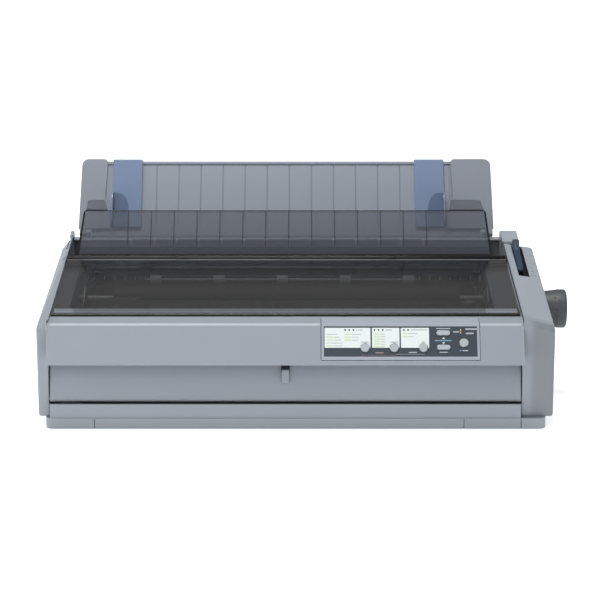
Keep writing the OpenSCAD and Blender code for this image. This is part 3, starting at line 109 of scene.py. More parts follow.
class Finish:
    """A material with one Principled shader; its constants go straight onto the shader's sockets."""

    def __init__(self, name, **constants):
        self.material = bpy.data.materials.new(name)
        self.material.use_nodes = True
        self.tree = self.material.node_tree
        self.tree.nodes.clear()
        self.shader = self.tree.nodes.new("ShaderNodeBsdfPrincipled")
        out = self.tree.nodes.new("ShaderNodeOutputMaterial")
        self.tree.links.new(self.shader.outputs[0], out.inputs["Surface"])
        self.where = self.node("ShaderNodeTexCoord", {}, {}, "Object")
        self.feed(**constants)

    def node(self, kind, settings, values, out=0):
        """Adds a node: its settings first, then the value or the link of each socket."""
        made = self.tree.nodes.new(kind)
        for key, value in settings.items():
            setattr(made, key, value)
        for key, value in values.items():
            if isinstance(value, Tap):
                self.tree.links.new(value.out, made.inputs[key])
            else:
                made.inputs[key].default_value = value
        return Tap(self, made.outputs[out])

    def feed(self, **sockets):
        """Gives the shader's sockets a constant or a link each."""
        for key, value in sockets.items():
            target = self.shader.inputs[key.replace("_", " ")]
            if isinstance(value, Tap):
                self.tree.links.new(value.out, target)
            else:
                target.default_value = value

    def noise(self, scale, detail=2.0, where=None):
        """Cloudy noise from 0 to 1, with scale clouds to the metre."""
        values = {"Vector": where or self.where, "Scale": scale, "Detail": detail}
        return self.node("ShaderNodeTexNoise", {}, values)

    def blend(self, amount, a, b):
        """Colour a where amount is 0 and colour b where it is 1."""
        a, b = [c if isinstance(c, Tap) else (*c, 1.0) for c in (a, b)]
        return self.node("ShaderNodeMix", {"data_type": "RGBA"}, {0: amount, 6: a, 7: b}, 2)

    def bump(self, height, strength, depth):
        """A normal that makes height look like relief, depth metres deep."""
        return self.node("ShaderNodeBump", {}, {"Height": height, "Strength": strength, "Distance": depth})

    def axes(self):
        """The three Object coordinates, in metres."""
        made = self.tree.nodes.new("ShaderNodeSeparateXYZ")
        self.tree.links.new(self.where.out, made.inputs[0])
        return [Tap(self, o) for o in made.outputs]

    def ramp(self, value, low, high):
        """A smooth step from 0 at low to 1 at high; it falls where high is the lesser."""
        values = {"Value": value, "From Min": low, "From Max": high}
        return self.node("ShaderNodeMapRange", {"interpolation_type": "SMOOTHSTEP"}, values)


paper = Finish("studio_paper", Roughness=0.9, Emission_Color=(1, 1, 1, 1), Emission_Strength=0.6)
paper.feed(Base_Color=paper.blend(paper.noise(0.8), (0.94, 0.94, 0.94), (0.92, 0.92, 0.925)))
floor.data.materials.append(paper.material)

# ---- Studio
# Soft boxes overhead, in front and at the left, over an even white surround, and the
# camera at the photograph's place: in front, a little above, looking down.
surround = 0.425                   # how strongly it lights the printer; the camera sees it white
world = bpy.data.worlds.new("studio")
world.use_nodes = True
world.node_tree.nodes["Background"].inputs["Color"].default_value = (1, 1, 1, 1)
sky = world.node_tree.nodes["Background"].inputs["Strength"]
seen = world.node_tree.nodes.new("ShaderNodeLightPath")
level = world.node_tree.nodes.new("ShaderNodeMapRange")
level.inputs["To Min"].default_value = surround
world.node_tree.links.new(seen.outputs["Is Camera Ray"], level.inputs["Value"])
world.node_tree.links.new(level.outputs["Result"], sky)
bpy.context.scene.world = world
for name, place, turn, size, power in [
    ("top_box", (-0.2, -0.15, 2.6), (0, 0, 0), 0.9, 52),
    ("front_box", (-0.9, -3.2, 1.7), (62, 0, -16), 1.8, 25),
    ("left_box", (-2.6, -0.6, 1.2), (68, 0, -78), 1.4, 13),
]:
    lamp = bpy.data.lights.new(name, "AREA")
    lamp.shape, lamp.size, lamp.energy = "SQUARE", size, power
    box = bpy.data.objects.new(name, lamp)
    box.location = place
    box.rotation_euler = [math.radians(t) for t in turn]
    bpy.context.scene.collection.objects.link(box)
bpy.context.scene.view_settings.view_transform = "Standard"

eye = bpy.data.cameras.new("camera")
eye.lens, eye.sensor_width, eye.clip_end = 121.8, 36, 60
camera = bpy.data.objects.new("camera", eye)
camera.location = (-0.0095, -2.4676, 0.754)
camera.rotation_euler = (math.radians(75.4), 0, 0)
bpy.context.scene.collection.objects.link(camera)
bpy.context.scene.camera = camera

# ---- Case mouldings
# The lower tray with its skirt and the upper case with its side blocks, fascia and rear
# wall: injection-moulded blue-grey styrene with a fine spark-eroded grain.
case_colour = (0.245, 0.272, 0.308)
case_dark = (0.232, 0.258, 0.293)
# the body that each CAD node rides on
bodies = {n: b for b, ns in frame["record"]["behaviour"]["bodies"].items() for n in ns}


def grained(name, colour, other, rough=0.5, grain=2600, depth=0.00004, patch=18, painted_light=(), gloss=0.5):
    """Moulded plastic: two close shades in soft patches, and a fine grain in the surface. Each of
    painted_light is (colour, amount, (axis, start, width), ...) in metres: past every start, on the
    side that the width points to, that colour is mixed in as painted shade or painted highlight."""
    made = Finish(name, Specular_IOR_Level=gloss)
    fine = made.noise(grain, 2)
    tone = made.blend(made.noise(patch, 3), colour, other)
    for tint, amount, *sides in painted_light:
        for axis, start, width in sides:
            amount = amount * made.ramp(made.axes()[axis], start, start + width)
        tone = made.blend(amount, tone, tint)
    made.feed(Base_Color=tone, Roughness=rough - 0.06 + 0.12 * fine, Normal=made.bump(fine, 0.35, depth))
    return made.material


def dress(material, *nodes):
    """Gives CAD nodes, which stay as they are, their material."""
    for n in nodes:
        node = frame["nodes"][n]
        if node.material_slots:
            for s in node.material_slots:
                s.material = material
        else:
            node.data.materials.append(material)


def moulded(node, radius, material, steps=2, plain=None):
    """A copy of a CAD node with doubled corners merged and its sharp edges rounded to a radius
    in millimetres; it stands for the node and rides on its body. An edge whose ends both pass the
    test plain stays as it is."""
    sharp_from = math.radians(32)
    mesh = frame["nodes"][node].data.copy()
    work = bmesh.new()
    work.from_mesh(mesh)
    bmesh.ops.remove_doubles(work, verts=work.verts, dist=2e-6)
    if plain:
        weight = work.edges.layers.float.new("bevel_weight_edge")
        for e in work.edges:
            sharp = len(e.link_faces) == 2 and e.calc_face_angle() > sharp_from
            e[weight] = 1.0 if sharp and not all(plain(v.co) for v in e.verts) else 0.0
    work.to_mesh(mesh)
    work.free()
    mesh.materials.clear()
    mesh.materials.append(material)
    piece = bpy.data.objects.new(node + "_moulding", mesh)
    bpy.context.scene.collection.objects.link(piece)
    edge = piece.modifiers.new("edges", "BEVEL")
    edge.width, edge.segments, edge.angle_limit = radius / 1000, steps, sharp_from
    edge.limit_method, edge.use_clamp_overlap = "WEIGHT" if plain else "ANGLE", False
    mesh.shade_smooth()
    even = piece.modifiers.new("even", "WEIGHTED_NORMAL")
    even.mode, even.weight, even.keep_sharp = "FACE_AREA", 50, True
    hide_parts(node)
    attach(piece, bodies[node])


def band(axis, low, high, soft):
    """Two sides of a tint that keep it between low and high on an axis, with soft borders."""
    return (axis, low, soft), (axis, high, -soft)


# colours for painted shade and painted highlights, mixed into the plastics below
painted_shade_colour = (0.02, 0.02, 0.02)
painted_highlight_colour = (0.42, 0.45, 0.49)
fold_y, fold_z = -0.1735, 0.1270   # the fold between the fascia and the strip above it
fold_half = 0.0016
upper_painted_light = [
    # painted shade on the right block's front, and painted light on its top
    (painted_shade_colour, 0.30, (0, 0.258, 0.012), (1, -0.160, -0.006)),
    (painted_highlight_colour, 0.22, (0, 0.2535, 0.003), (1, -0.158, 0.006)),
    # a painted highlight along the fold
    (painted_highlight_colour, 0.8, *band(1, fold_y - fold_half, fold_y + fold_half, 0.0008), (2, fold_z - 0.002, 0.001),
     *band(0, -0.304, 0.251, 0.002)),
]
# and painted highlights down the fascia's two end edges
for low, high in [(0.2512, 0.2532), (-0.3082, -0.3058)]:
    upper_painted_light.append((painted_highlight_colour, 0.6, *band(0, low, high, 0.0006), (1, -0.168, -0.003),
                        *band(2, 0.084, 0.127, 0.003)))
rear_face = 0.1395                 # the rear wall with its cut-outs lies behind this
upper_grey = grained("upper_case_plastic", case_colour, case_dark, rough=0.40, painted_light=upper_painted_light)
moulded("upper_case", 0.9, upper_grey, plain=lambda at: at.y > rear_face)
seams = [-0.2525, 0.1845, 0.252]   # joints in the skirt, with painted shade drawn along them as dark lines
seam_half = 0.0006
seam_painted_shade = [(painted_shade_colour, 0.75, *band(0, x - seam_half, x + seam_half, 0.0003), (1, -0.16, -0.002),
                (2, 0.0125, -0.001)) for x in seams]
lower_grey = grained("lower_case_plastic", case_colour, case_dark, rough=0.42, painted_light=seam_painted_shade)
moulded("lower_case", 0.3, lower_grey)

# ---- Front cover and its latch
# A hollow-curved door over the front paper path, moulded in the same grey, which drops
# forward on two pins; a little sprung thumb latch hangs from it in the middle.
moulded("front_cover", 0.4, grained("front_cover_plastic", case_colour, case_dark))
latch_gap_shade = ((0.008, 0.009, 0.013), 0.95, (2, 0.0712, 0.0004))   # painted shade for the dark gap over the latch
moulded("front_cover_latch", 0.3, grained("latch_plastic", case_colour, case_dark, painted_light=[latch_gap_shade]))

# ---- Tinted printer cover
# A sheet of smoke-grey acrylic that the print mechanism shows through, with a polished
# face. Its rear edge is glued to the black hinge strip.


def smoked(name, colour, alpha, edges, painted_light_bands=(), light_band_colour=(0, 0, 0), rough=0.12):
    """Tinted clear plastic: mostly dark, partly see-through, with a glossy skin. edges and
    painted_light_bands are lists of (amount, (axis, low, high), ...) in metres: within all the ranges
    of one, an edge paints the sheet near black and a light band paints it pale as painted light. A
    range with a pitch and a width too holds lines, one every pitch, and an amount may be worked out
    from the axes."""
    made = Finish(name, IOR=1.49)
    haze = made.noise(9, 2)
    axes = made.axes()

    def covered(groups):
        """How far the groups cover a point: the sum of their amounts, kept from 0 to 1."""
        total = 0.0
        for part, *ranges in groups:
            part = part(axes) if callable(part) else part
            for axis, low, high, *lines in ranges:
                part = (axes[axis] > low) * (axes[axis] < high) * part
                if lines:
                    part = part * (((axes[axis] - low) % lines[0]) < lines[1])
            total = part + total
        return made.node("ShaderNodeClamp", {}, {0: total})

    edge, light_band = covered(edges), covered(painted_light_bands)
    made.feed(Alpha=(alpha - 0.02 + 0.04 * haze) * (1.0 - edge) + edge * 0.96,
              Roughness=rough + 0.05 * haze,
              Base_Color=made.blend(edge, made.blend(light_band, colour, light_band_colour), (0.003, 0.003, 0.004)))
    made.material.surface_render_method = "BLENDED"
    return made.material


cover_low, cover_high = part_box("printer_cover")
cover_front, cover_rear = cover_low[1], cover_high[1]
# the sheet's turned-down front: a pale strip of painted light between two dark lines of painted shade
strip_low, strip_high, strip_end = cover_front + 0.0044, cover_front + 0.0172, cover_front + 0.0195
ledge_left, ledge_right = -0.2786, 0.2108   # outside these the strip lies over the case's lit ledges and gets more painted light
side_edge = 0.0025
far = 1                            # past every piece, for a range that is open at one end
smoke = smoked("smoked_acrylic", (0.013, 0.013, 0.014), 0.44, edges=[
    # painted shade: dark lines in the gaps before and behind the front strip
    (1, (1, cover_front - 0.001, strip_low)),
    (1, (1, strip_high, strip_end)),
    # a painted shadow under the rear cover, deepening towards the rear edge
    (0.9, (1, cover_rear - 0.008, far)),
    (0.35, (1, cover_rear - 0.020, far)),
    (0.2, (1, cover_rear - 0.032, far)),
    (1, (1, -far, strip_end), (0, -far, cover_low[0] + side_edge)),
    (1, (1, -far, strip_end), (0, cover_high[0] - side_edge, far)),
# painted light: the turned-down front's pale band, paler still over the lit ledges
], painted_light_bands=[
    (0.55, (1, strip_low, strip_high)),
    (0.45, (1, strip_low, strip_high), (0, -far, ledge_left)),
    (0.45, (1, strip_low, strip_high), (0, ledge_right, far)),
], light_band_colour=(0.27, 0.30, 0.35))
moulded("printer_cover", 0.3, smoke)

# ---- Hinge strip, knuckles and rod
# The cover's black rear strip and the rear cover's knuckles, in satin black plastic, turn
# on one long steel rod.
# a painted highlight along the strip's upper front edge
painted_glint = ((0.17, 0.175, 0.185), 1.0, (1, 0.0335, -0.0003), (2, 0.1562, -0.0004), (2, 0.1545, 0.0003))
black_satin = grained("hinge_black", (0.006, 0.006, 0.007), (0.009, 0.009, 0.010), rough=0.16,
                      grain=1800, gloss=0.1, painted_light=[painted_glint])
moulded("cover_hinge_strip", 0.3, black_satin)
moulded("rear_cover_knuckles", 0.3, black_satin)


def plated(name, colour, rough, along=(1, 60, 60), scale=30):
    """Bright metal with fine drawing lines along one direction."""
    made = Finish(name, Metallic=1.0)
    lines = made.noise(scale, 3, made.node("ShaderNodeMapping", {}, {"Vector": made.where, "Scale": along}))
    made.feed(Base_Color=made.blend(lines, colour, tuple(0.86 * c for c in colour)),
              Roughness=rough - 0.08 + 0.16 * lines, Normal=made.bump(lines, 0.08, 0.0001))
    return made.material


hinge_steel = plated("hinge_steel", (0.10, 0.10, 0.11), 0.4)
dress(hinge_steel, "hinge_rod")

# ---- Rear cover
# The second tinted panel, which leans back behind the hinge and steers the paper up; it
# is ribbed on its back and has an ear at each end of its rolled top edge.
rear_low, rear_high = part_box("rear_cover")
rear_mid, rear_half = (rear_low[0] + rear_high[0]) / 2, (rear_high[0] - rear_low[0]) / 2
rear_foot = rear_low[2]
rim = rear_high[2] - 0.0118        # the panel's top edge; the ears stand above it
end_lean = 0.0062                  # how far each end leans in, from the foot to the rim
ribs_from, rib_pitch, rib_width, rib_count = -0.23045, 0.0294, 0.0014, 14
ribs_to = ribs_from + (rib_count - 0.5) * rib_pitch
ribs_low = rear_foot + 0.0145      # foot of the ribs


def rear_side(axes):
    """How far a point lies inside the rear cover's nearer end, which leans in up to the rim."""
    return rear_half - abs(axes[0] - rear_mid) - (axes[2] - rear_foot) * (end_lean / (rim - rear_foot))


rear_smoke = smoked("rear_smoked_acrylic", (0.075, 0.086, 0.109), 0.46, edges=[
    (0.9, (2, rim - 0.0012, rim + 0.0004)),
    # painted shade, darkening the foot towards the hinge
    (0.7, (2, 0, rear_foot + 0.0055)),
    (0.45, (2, 0, rear_foot + 0.0135)),
    (lambda axes: rear_side(axes) < 0.0022, (2, 0, rim)),
    (0.5, (0, ribs_from, ribs_to, rib_pitch, rib_width), (2, ribs_low, rim)),
])
moulded("rear_cover", 0.3, rear_smoke)

# ---- Paper support
# The pull-up panel behind, in a bluer and darker grey, with grooves that stiffen it and
# raised wings at its ends.
wing_left, wing_right = -0.2664, 0.187    # inner edges of the wings; past them painted shade darkens the wings a little
wing_painted_shade = [(painted_shade_colour, 0.15, (0, wing_left, -0.001)), (painted_shade_colour, 0.15, (0, wing_right, 0.001))]
support_grey = grained("support_plastic", (0.198, 0.220, 0.262), (0.188, 0.210, 0.250), rough=0.45,
                       painted_light=wing_painted_shade)
moulded("paper_support", 0.5, support_grey)


def sloped(foot_y, foot_z, angle):
    """The way from a sloping face's own millimetres, across, up the slope from its foot and out
    of the face, to the row frame: the slope's two axes are turned by the angle and added up."""
    def place(points):
        x, s, n = np.moveaxis(np.asarray(points, float) / 1000, -1, 0)
        return np.stack([x, foot_y + s * math.cos(angle) - n * math.sin(angle),
                         foot_z + s * math.sin(angle) + n * math.cos(angle)], -1)
    return place


def oblong(x0, s0, x1, s1):
    """A rectangle's corners, counterclockwise."""
    return [(x0, s0), (x1, s0), (x1, s1), (x0, s1)]


def slab(name, outline, low, high, finish, body, place):
    """A flat plate: one outline, counterclockwise, at two heights, closed at both."""
    outline = np.asarray(outline, float)
    rings = np.stack([np.c_[outline, np.full(len(outline), h)] for h in (low, high)])
    made = surface(name, place(rings), round_v=True, low_cap=True, high_cap=True)
    made.data.materials.append(finish)
    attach(made, body)


joints = frame["record"]["behaviour"]["joints"]
pivot = next(j["pos_m"] for j in joints if j["name"] == "support_hinge")
on_support = sloped(pivot[1], pivot[2], math.radians(57))
support_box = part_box("paper_support")
# a small web stands beside the hinge at each end: in from the panel's end, and up the panel
web_near, web_far, web_low, web_high = 16.5, 20.2, -3.6, 6.5
web_back, web_front = -4, -1
for side, end, inward in [("left", support_box[0][0], 1), ("right", support_box[1][0], -1)]:
    x0, x1 = sorted([1000 * end + inward * web_near, 1000 * end + inward * web_far])
    web = oblong(x0, web_low, x1, web_high)
    slab(f"support_web_{side}", web, web_back, web_front, support_grey, "support", on_support)

# ---- Edge guides
# Two sliders in milky blue plastic, lightly see-through, that hook over the panel's rim
# and hold the paper's edges.
guide_blue = Finish("guide_blue", IOR=1.49, Coat_Weight=0.15)
deep = guide_blue.noise(14, 2)
guide_blue.feed(Base_Color=guide_blue.blend(deep, (0.158, 0.212, 0.325), (0.140, 0.193, 0.302)),
                Alpha=0.86 + 0.06 * deep, Roughness=0.26 + 0.1 * deep)
guide_blue.material.surface_render_method = "BLENDED"
moulded("left_edge_guide", 0.35, guide_blue.material)
moulded("right_edge_guide", 0.35, guide_blue.material)
# Each guide has a darker lobe with a level foot. Its top falls from the guide's outer side
# inwards: at t of its width it stands its rise times the root of (1 - t cubed) over its side.
lobe_blue = grained("lobe_blue", (0.062, 0.098, 0.182), (0.056, 0.090, 0.170), rough=0.35)
lobe_inset, lobe_width, lobe_foot, lobe_side, lobe_rise = 2.2, 20, 8.6, 30, 26
lobe_back, lobe_front = 3.05, 3.5
t = np.linspace(1, 0, 24)
for side, end, inward in [("left", 0, 1), ("right", 1, -1)]:
    outer = 1000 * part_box(f"{side}_edge_guide")[end][0] + inward * lobe_inset
    foot = [[outer, lobe_foot], [outer + inward * lobe_width, lobe_foot]]
    top = np.c_[outer + inward * t * lobe_width, lobe_side + lobe_rise * np.sqrt(1 - t ** 3)]
    outline = np.vstack([foot, top])[::inward]
    slab(f"{side}_guide_lobe", outline, lobe_back, lobe_front, lobe_blue, f"{side}_guide", on_support)

# ---- Control panel insert
# A separate moulding in the case's grey plastic, let into the fascia's opening, with a
# raised rim round the dark overlay.
panel_grey = grained("panel_plastic", (0.285, 0.315, 0.356), (0.272, 0.302, 0.342), rough=0.46)
moulded("control_panel", 0.35, panel_grey)

# ---- Overlay
# A slate-coloured polycarbonate sheet stuck into the insert's recess, satin on top; its
# pictures are printed from behind.
slate = grained("overlay_slate", (0.034, 0.045, 0.058), (0.031, 0.041, 0.053), rough=0.34,
                grain=3600, depth=0.00001)
moulded("panel_overlay", 0.12, slate)
lip_y, lip_z = -0.201646, 0.0844   # the fascia's foot is the case's front lip
on_fascia = sloped(lip_y, lip_z, math.radians(56.990))


def rounded_ring(low, high, radius, inset, height, steps=5):
    """A rectangle's outline with corner arcs, drawn in by inset, at one height: four quarter
    circles about the corners' centres, joined by the straight sides."""
    turn = np.concatenate([np.linspace(q, q + math.pi / 2, steps) for q in np.arange(4) * math.pi / 2])
    sign_x = np.repeat([1, -1, -1, 1], steps)
    sign_y = np.repeat([1, 1, -1, -1], steps)
    mid, half = np.add(low, high) / 2, np.subtract(high, low) / 2
    r = max(radius - inset, 0.05)
    x = mid[0] + sign_x * (half[0] - radius) + r * np.cos(turn)
    y = mid[1] + sign_y * (half[1] - radius) + r * np.sin(turn)
    return np.stack([x, y, np.full(x.shape, height)], -1)


def plate(name, low, high, radius, base, top, round_top):
    """A thin plate on the fascia: a stack of rounded outlines, the last ones drawn in along a
    quarter circle that rounds the upper edge."""
    arc = np.linspace(0, math.pi / 2, 4)
    insets = [0, *round_top * (1 - np.cos(arc))]
    heights = [base, *top - round_top * (1 - np.sin(arc))]
    rings = [rounded_ring(low, high, radius, i, h) for i, h in zip(insets, heights)]
    made = surface(name, on_fascia(rings), round_v=True, low_cap=True, high_cap=True)
    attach(made, "base")
    return made


# ---- Printed cards on the overlay
# Three white printed fields that list what the lamps above mean, in short rows with green
# tabs; the wording is drawn as plain bars.


def printing_ink(name, colour, other, rough=0.5, grain=900, detail=2):
    """Flat ink or lacquer: two shades in fine specks."""
    made = Finish(name, Roughness=rough)
    made.feed(Base_Color=made.blend(made.noise(grain, detail), colour, other))
    return made.material


card_white = printing_ink("card_white", (0.64, 0.68, 0.68), (0.61, 0.66, 0.66), rough=0.4, grain=400)
bar_grey = printing_ink("bar_grey", (0.24, 0.27, 0.26), (0.50, 0.54, 0.53), grain=1400, detail=3)
bar_green = printing_ink("bar_green", (0.46, 0.56, 0.36), (0.52, 0.61, 0.43))
face, sink = 0.6, 0.02             # the overlay's face over the fascia, and how deep a mark's foot lies


def printed(name, x0, s0, x1, s1, ink, radius=0.2, lift=0.09):
    """A printed mark: a very thin plate with rounded corners, in millimetres on the fascia."""
    mark = plate(name, (x0, s0), (x1, s1), radius, face - sink, face + lift, 0.01)
    mark.data.materials.append(ink)


card_low, card_high = 22.0, 46.4
for i, (x0, x1) in enumerate([(19.2, 72.8), (74.6, 106.7), (108.3, 141.3)]):
    printed(f"card_{i + 1}", x0, card_low, x1, card_high, card_white, 0.8, 0.06)
# each row: card, place across, place up the slope, tab's length, whole length
row_top, row_step = 38.4, 3.55
rows = [(1, 21.1, row_top - row_step * j, tab, length) for j, (tab, length) in enumerate(
    [(0, 12.5), (8.5, 15.5), (9.0, 17.5), (5.0, 18.8), (9.0, 19.0)])]
rows += [(1, 42.4, row_top - row_step * j, 8.0, length) for j, length in enumerate([20.0, 16.8, 16.0])]
rows += [(2, 76.6, 38.6 - 3.05 * j, 7.5, 13.0) for j in range(6)]
rows += [(3, 111.2, 39.4, 5.2, 16.8), (3, 111.2, 35.6, 5.2, 11.8)]
for i, (card, x, s, tab, length) in enumerate(rows):
    if tab:
        printed(f"card_{card}_tab_{i + 1}", x, s - 0.9, x + tab, s + 0.9, bar_green, 0.3)
    printed(f"card_{card}_row_{i + 1}", x + tab + 0.6, s - 0.5, x + length, s + 0.5, bar_grey)
# each heading: its two ends across, and its place up the slope
headings = [(55.8, 63.8, 43.7), (90.7, 98.0, 43.7), (120.1, 139.7, 43.9),
            (62.2, 70.6, 28.8), (96.7, 105.1, 28.8), (133.0, 136.4, 29.0)]
for i, (x0, x1, s) in enumerate(headings):
    printed(f"heading_{i + 1}", x0, s - 0.7, x1, s + 0.7, bar_grey, 0.3)

# ---- Lamps
# Small dark windows in the cards' top edges with lamps behind, and a pair of pale amber
# ones above the pause button.
lamp_dark = printing_ink("lamp_window", (0.018, 0.026, 0.022), (0.030, 0.040, 0.034), rough=0.25, grain=600)
lamp_amber = printing_ink("lamp_amber", (0.66, 0.52, 0.26), (0.60, 0.45, 0.20), rough=0.3, grain=600)
lamp_half = 1.05
for i, x in enumerate([43.4, 48.1, 53.0, 77.6, 82.4, 87.3, 112.0, 116.9]):
    printed(f"lamp_{i + 1}", x - lamp_half, 42.7, x + lamp_half, 44.8, lamp_dark, 0.9, 0.14)
for i, s in enumerate([43.6, 40.6]):
    printed(f"lamp_amber_{i + 1}", 177.7, s - 1.1, 178.9, s + 1.1, lamp_amber, 0.3, 0.14)

# ---- Printed marks on the overlay
# Pale strokes and arrows beside the buttons, and the lines that tie the selection buttons
# together under the cards.
mark_pale = printing_ink("mark_pale", (0.16, 0.19, 0.22), (0.42, 0.46, 0.50), grain=1400, detail=3)
mark_white = printing_ink("mark_white", (0.66, 0.70, 0.72), (0.58, 0.62, 0.64))
mark_blue = printing_ink("mark_blue", (0.05, 0.12, 0.19), (0.22, 0.36, 0.46), grain=1400, detail=3)
mark_red = printing_ink("mark_red", (0.16, 0.11, 0.13), (0.28, 0.19, 0.22), grain=1400, detail=3)
# each stroke: two opposite corners on the fascia, and its ink
strokes = [
    (149.9, 44.8, 166.4, 46.2, mark_pale), (153.2, 15.8, 162.8, 17.2, mark_pale),
    (169.5, 40.6, 176.4, 42.4, mark_pale), (184.0, 43.8, 197.4, 45.8, mark_pale),
    (184.3, 38.6, 193.5, 40.6, mark_pale), (147.8, 30.0, 167.5, 31.6, mark_blue),
    (176.6, 17.8, 178.6, 19.4, mark_blue), (180.0, 17.8, 186.4, 19.4, mark_pale),
    (78.5, 15.0, 88.0, 16.8, mark_red), (61.8, 12.7, 101.9, 13.1, mark_red),
    (117.4, 15.6, 126.9, 17.0, mark_pale), (102.2, 13.9, 135.7, 14.3, mark_pale),
]
for i, stroke in enumerate(strokes):
    printed(f"mark_{i + 1}", *stroke)
arrow_x, arrow_half = 158.2, 1.6
for i, (s, up) in enumerate([(34.0, 1), (27.6, -1)]):
    corners = [(arrow_x - arrow_half, s - up), (arrow_x + arrow_half, s - up), (arrow_x, s + up)][::up]
    slab(f"arrow_{i + 1}", corners, face - sink, face + 0.09, mark_white, "base", on_fascia)

# ---- Buttons
# Six keys moulded in pale silver-grey: three round selectors, two pills for the paper's
# position and the round pause key.
key_silver = grained("key_silver", (0.36, 0.39, 0.42), (0.33, 0.36, 0.39), rough=0.36, grain=3000,
                     depth=0.00002)
for key, radius in [("font", 0.7), ("pitch", 0.7), ("tear_off", 0.7), ("upper_adjust", 0.35),
                    ("lower_adjust", 0.35), ("pause", 0.7)]:
    moulded(f"{key}_button", radius, key_silver, steps=3)
# the ring printed on the pause key: its section's corners as radius and height, once round
pause_x, pause_s = 182, 28.5
turn = np.linspace(0, 2 * math.pi, 32, endpoint=False)
rings = [np.stack([pause_x + r * np.cos(turn), pause_s + r * np.sin(turn), np.full(turn.shape, h)], -1)
         for r, h in [(2.9, 2.15), (2.9, 2.26), (2.3, 2.26), (2.3, 2.15)]]
ring = surface("pause_ring", on_fascia(rings), round_u=True, round_v=True)
ring.data.materials.append(bar_grey)
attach(ring, "pause_key")

# ---- Circuit boards
# Green glass-cloth boards: one behind the keypad carries its switches and lamps, and the
# main board lies on posts on the chassis.
circuit_green = grained("circuit_green", (0.02, 0.12, 0.06), (0.015, 0.10, 0.05), rough=0.35, grain=900)
dress(circuit_green, "control_board", "main_board")

# ---- Release lever
# A moulded lever in navy blue, in a slot beside the cover: it frees the paper and picks
# friction or tractor feed. Six ticks beside the slot mark its way.
lever_blue = grained("lever_blue", (0.022, 0.040, 0.070), (0.018, 0.034, 0.062), rough=0.4, gloss=0.2)
moulded("release_lever", 1.0, lever_blue, steps=3)
tick_grey = grained("tick_grey", (0.13, 0.145, 0.165), (0.12, 0.135, 0.155), rough=0.5)
tick_x, tick_length, tick_width = 0.2782, 0.0062, 0.0009
tick_front, tick_pitch, tick_count = -0.0135, 0.0133, 6
tick_sink, tick_lift = -0.0002, 0.0001
case_mesh = frame["nodes"]["upper_case"].data
case_points = [v.co for v in case_mesh.vertices]
case_tree = BVHTree.FromPolygons(case_points, [p.vertices for p in case_mesh.polygons])


def on_block(corners, lift):
    """Points over the right block, dropped straight down onto its top and raised by lift."""
    return [(x, y, case_tree.ray_cast((x, y, 1), (0, 0, -1))[0].z + lift) for x, y in corners]


for k in range(tick_count):
    y = tick_front + k * tick_pitch
    corners = oblong(tick_x, y, tick_x + tick_length, y + tick_width)
    tick_mark = surface(f"lever_tick_{k + 1}", [on_block(corners, tick_sink), on_block(corners, tick_lift)],
                        round_v=True, low_cap=True, high_cap=True)
    tick_mark.data.materials.append(tick_grey)
    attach(tick_mark, "base")

# ---- Platen knob and its shaft
# A charcoal knob with a plain rim and finger flutes round its foot, pressed on a steel
# shaft whose gear turns the platen.
knob_grey = grained("knob_grey", (0.050, 0.054, 0.060), (0.042, 0.046, 0.052), rough=0.5, grain=1500)
moulded("platen_knob", 0.5, knob_grey)
bright_steel = plated("bright_steel", (0.24, 0.245, 0.25), 0.46)
dress(bright_steel, "knob_shaft", "platen_shaft", "carriage_shaft")

# ---- Platen and gear train
# The rubber roller that the paper runs round, the milky acetal gears that turn it from the
# motor's brass pinion, and the grey plastic bushes that carry its shaft.
platen_rubber = grained("platen_rubber", (0.018, 0.018, 0.019), (0.024, 0.024, 0.025), rough=0.62,
                        grain=1400)
dress(platen_rubber, "platen")
acetal = grained("acetal", (0.68, 0.66, 0.58), (0.64, 0.62, 0.54), rough=0.35, grain=800)
dress(acetal, "platen_gear", "idler_gear")
dress(grained("bush_grey", (0.09, 0.09, 0.10), (0.08, 0.08, 0.09), rough=0.45), "platen_bushes")
dress(plated("motor_pinion_brass", (0.70, 0.56, 0.28), 0.32), "motor_pinion")

# ---- Frames
# Zinc-plated sheet steel, punched and folded: the chassis plate, the two side frames that
# stand on it, the carriage's front rail and the belt's idler.
zinc = plated("zinc_plate", (0.26, 0.265, 0.27), 0.5, along=(4, 4, 4), scale=18)
dress(zinc, "chassis", "left_side_frame", "right_side_frame", "carriage_rail", "belt_idler")

# ---- Motors, belt and supply
# Black-cased stepping motors, the toothed rubber belt that pulls the carriage, and the
# power supply in its zinc-plated screen.
motor_black = grained("motor_black", (0.025, 0.025, 0.027), (0.035, 0.035, 0.037), rough=0.42)
dress(motor_black, "carriage_motor", "paper_feed_motor")
belt = Finish("belt_rubber", Roughness=0.7)
across = belt.axes()[0]
teeth = (across % 0.002) > 0.001
belt.feed(Base_Color=belt.blend(teeth, (0.012, 0.012, 0.012), (0.03, 0.03, 0.03)),
          Normal=belt.bump(teeth, 0.5, 0.0004))
dress(belt.material, "drive_belt")
dress(zinc, "power_supply")

# ---- Carriage and print head
# The black carriage that slides on the bright shaft, and the finned head with its nose of
# wires at the platen.
carriage_black = grained("carriage_black", (0.020, 0.020, 0.022), (0.028, 0.028, 0.030), rough=0.4)
moulded("print_carriage", 0.5, carriage_black)
head_alloy = plated("head_alloy", (0.20, 0.20, 0.21), 0.42, along=(3, 3, 3), scale=40)
moulded("print_head", 0.4, head_alloy)

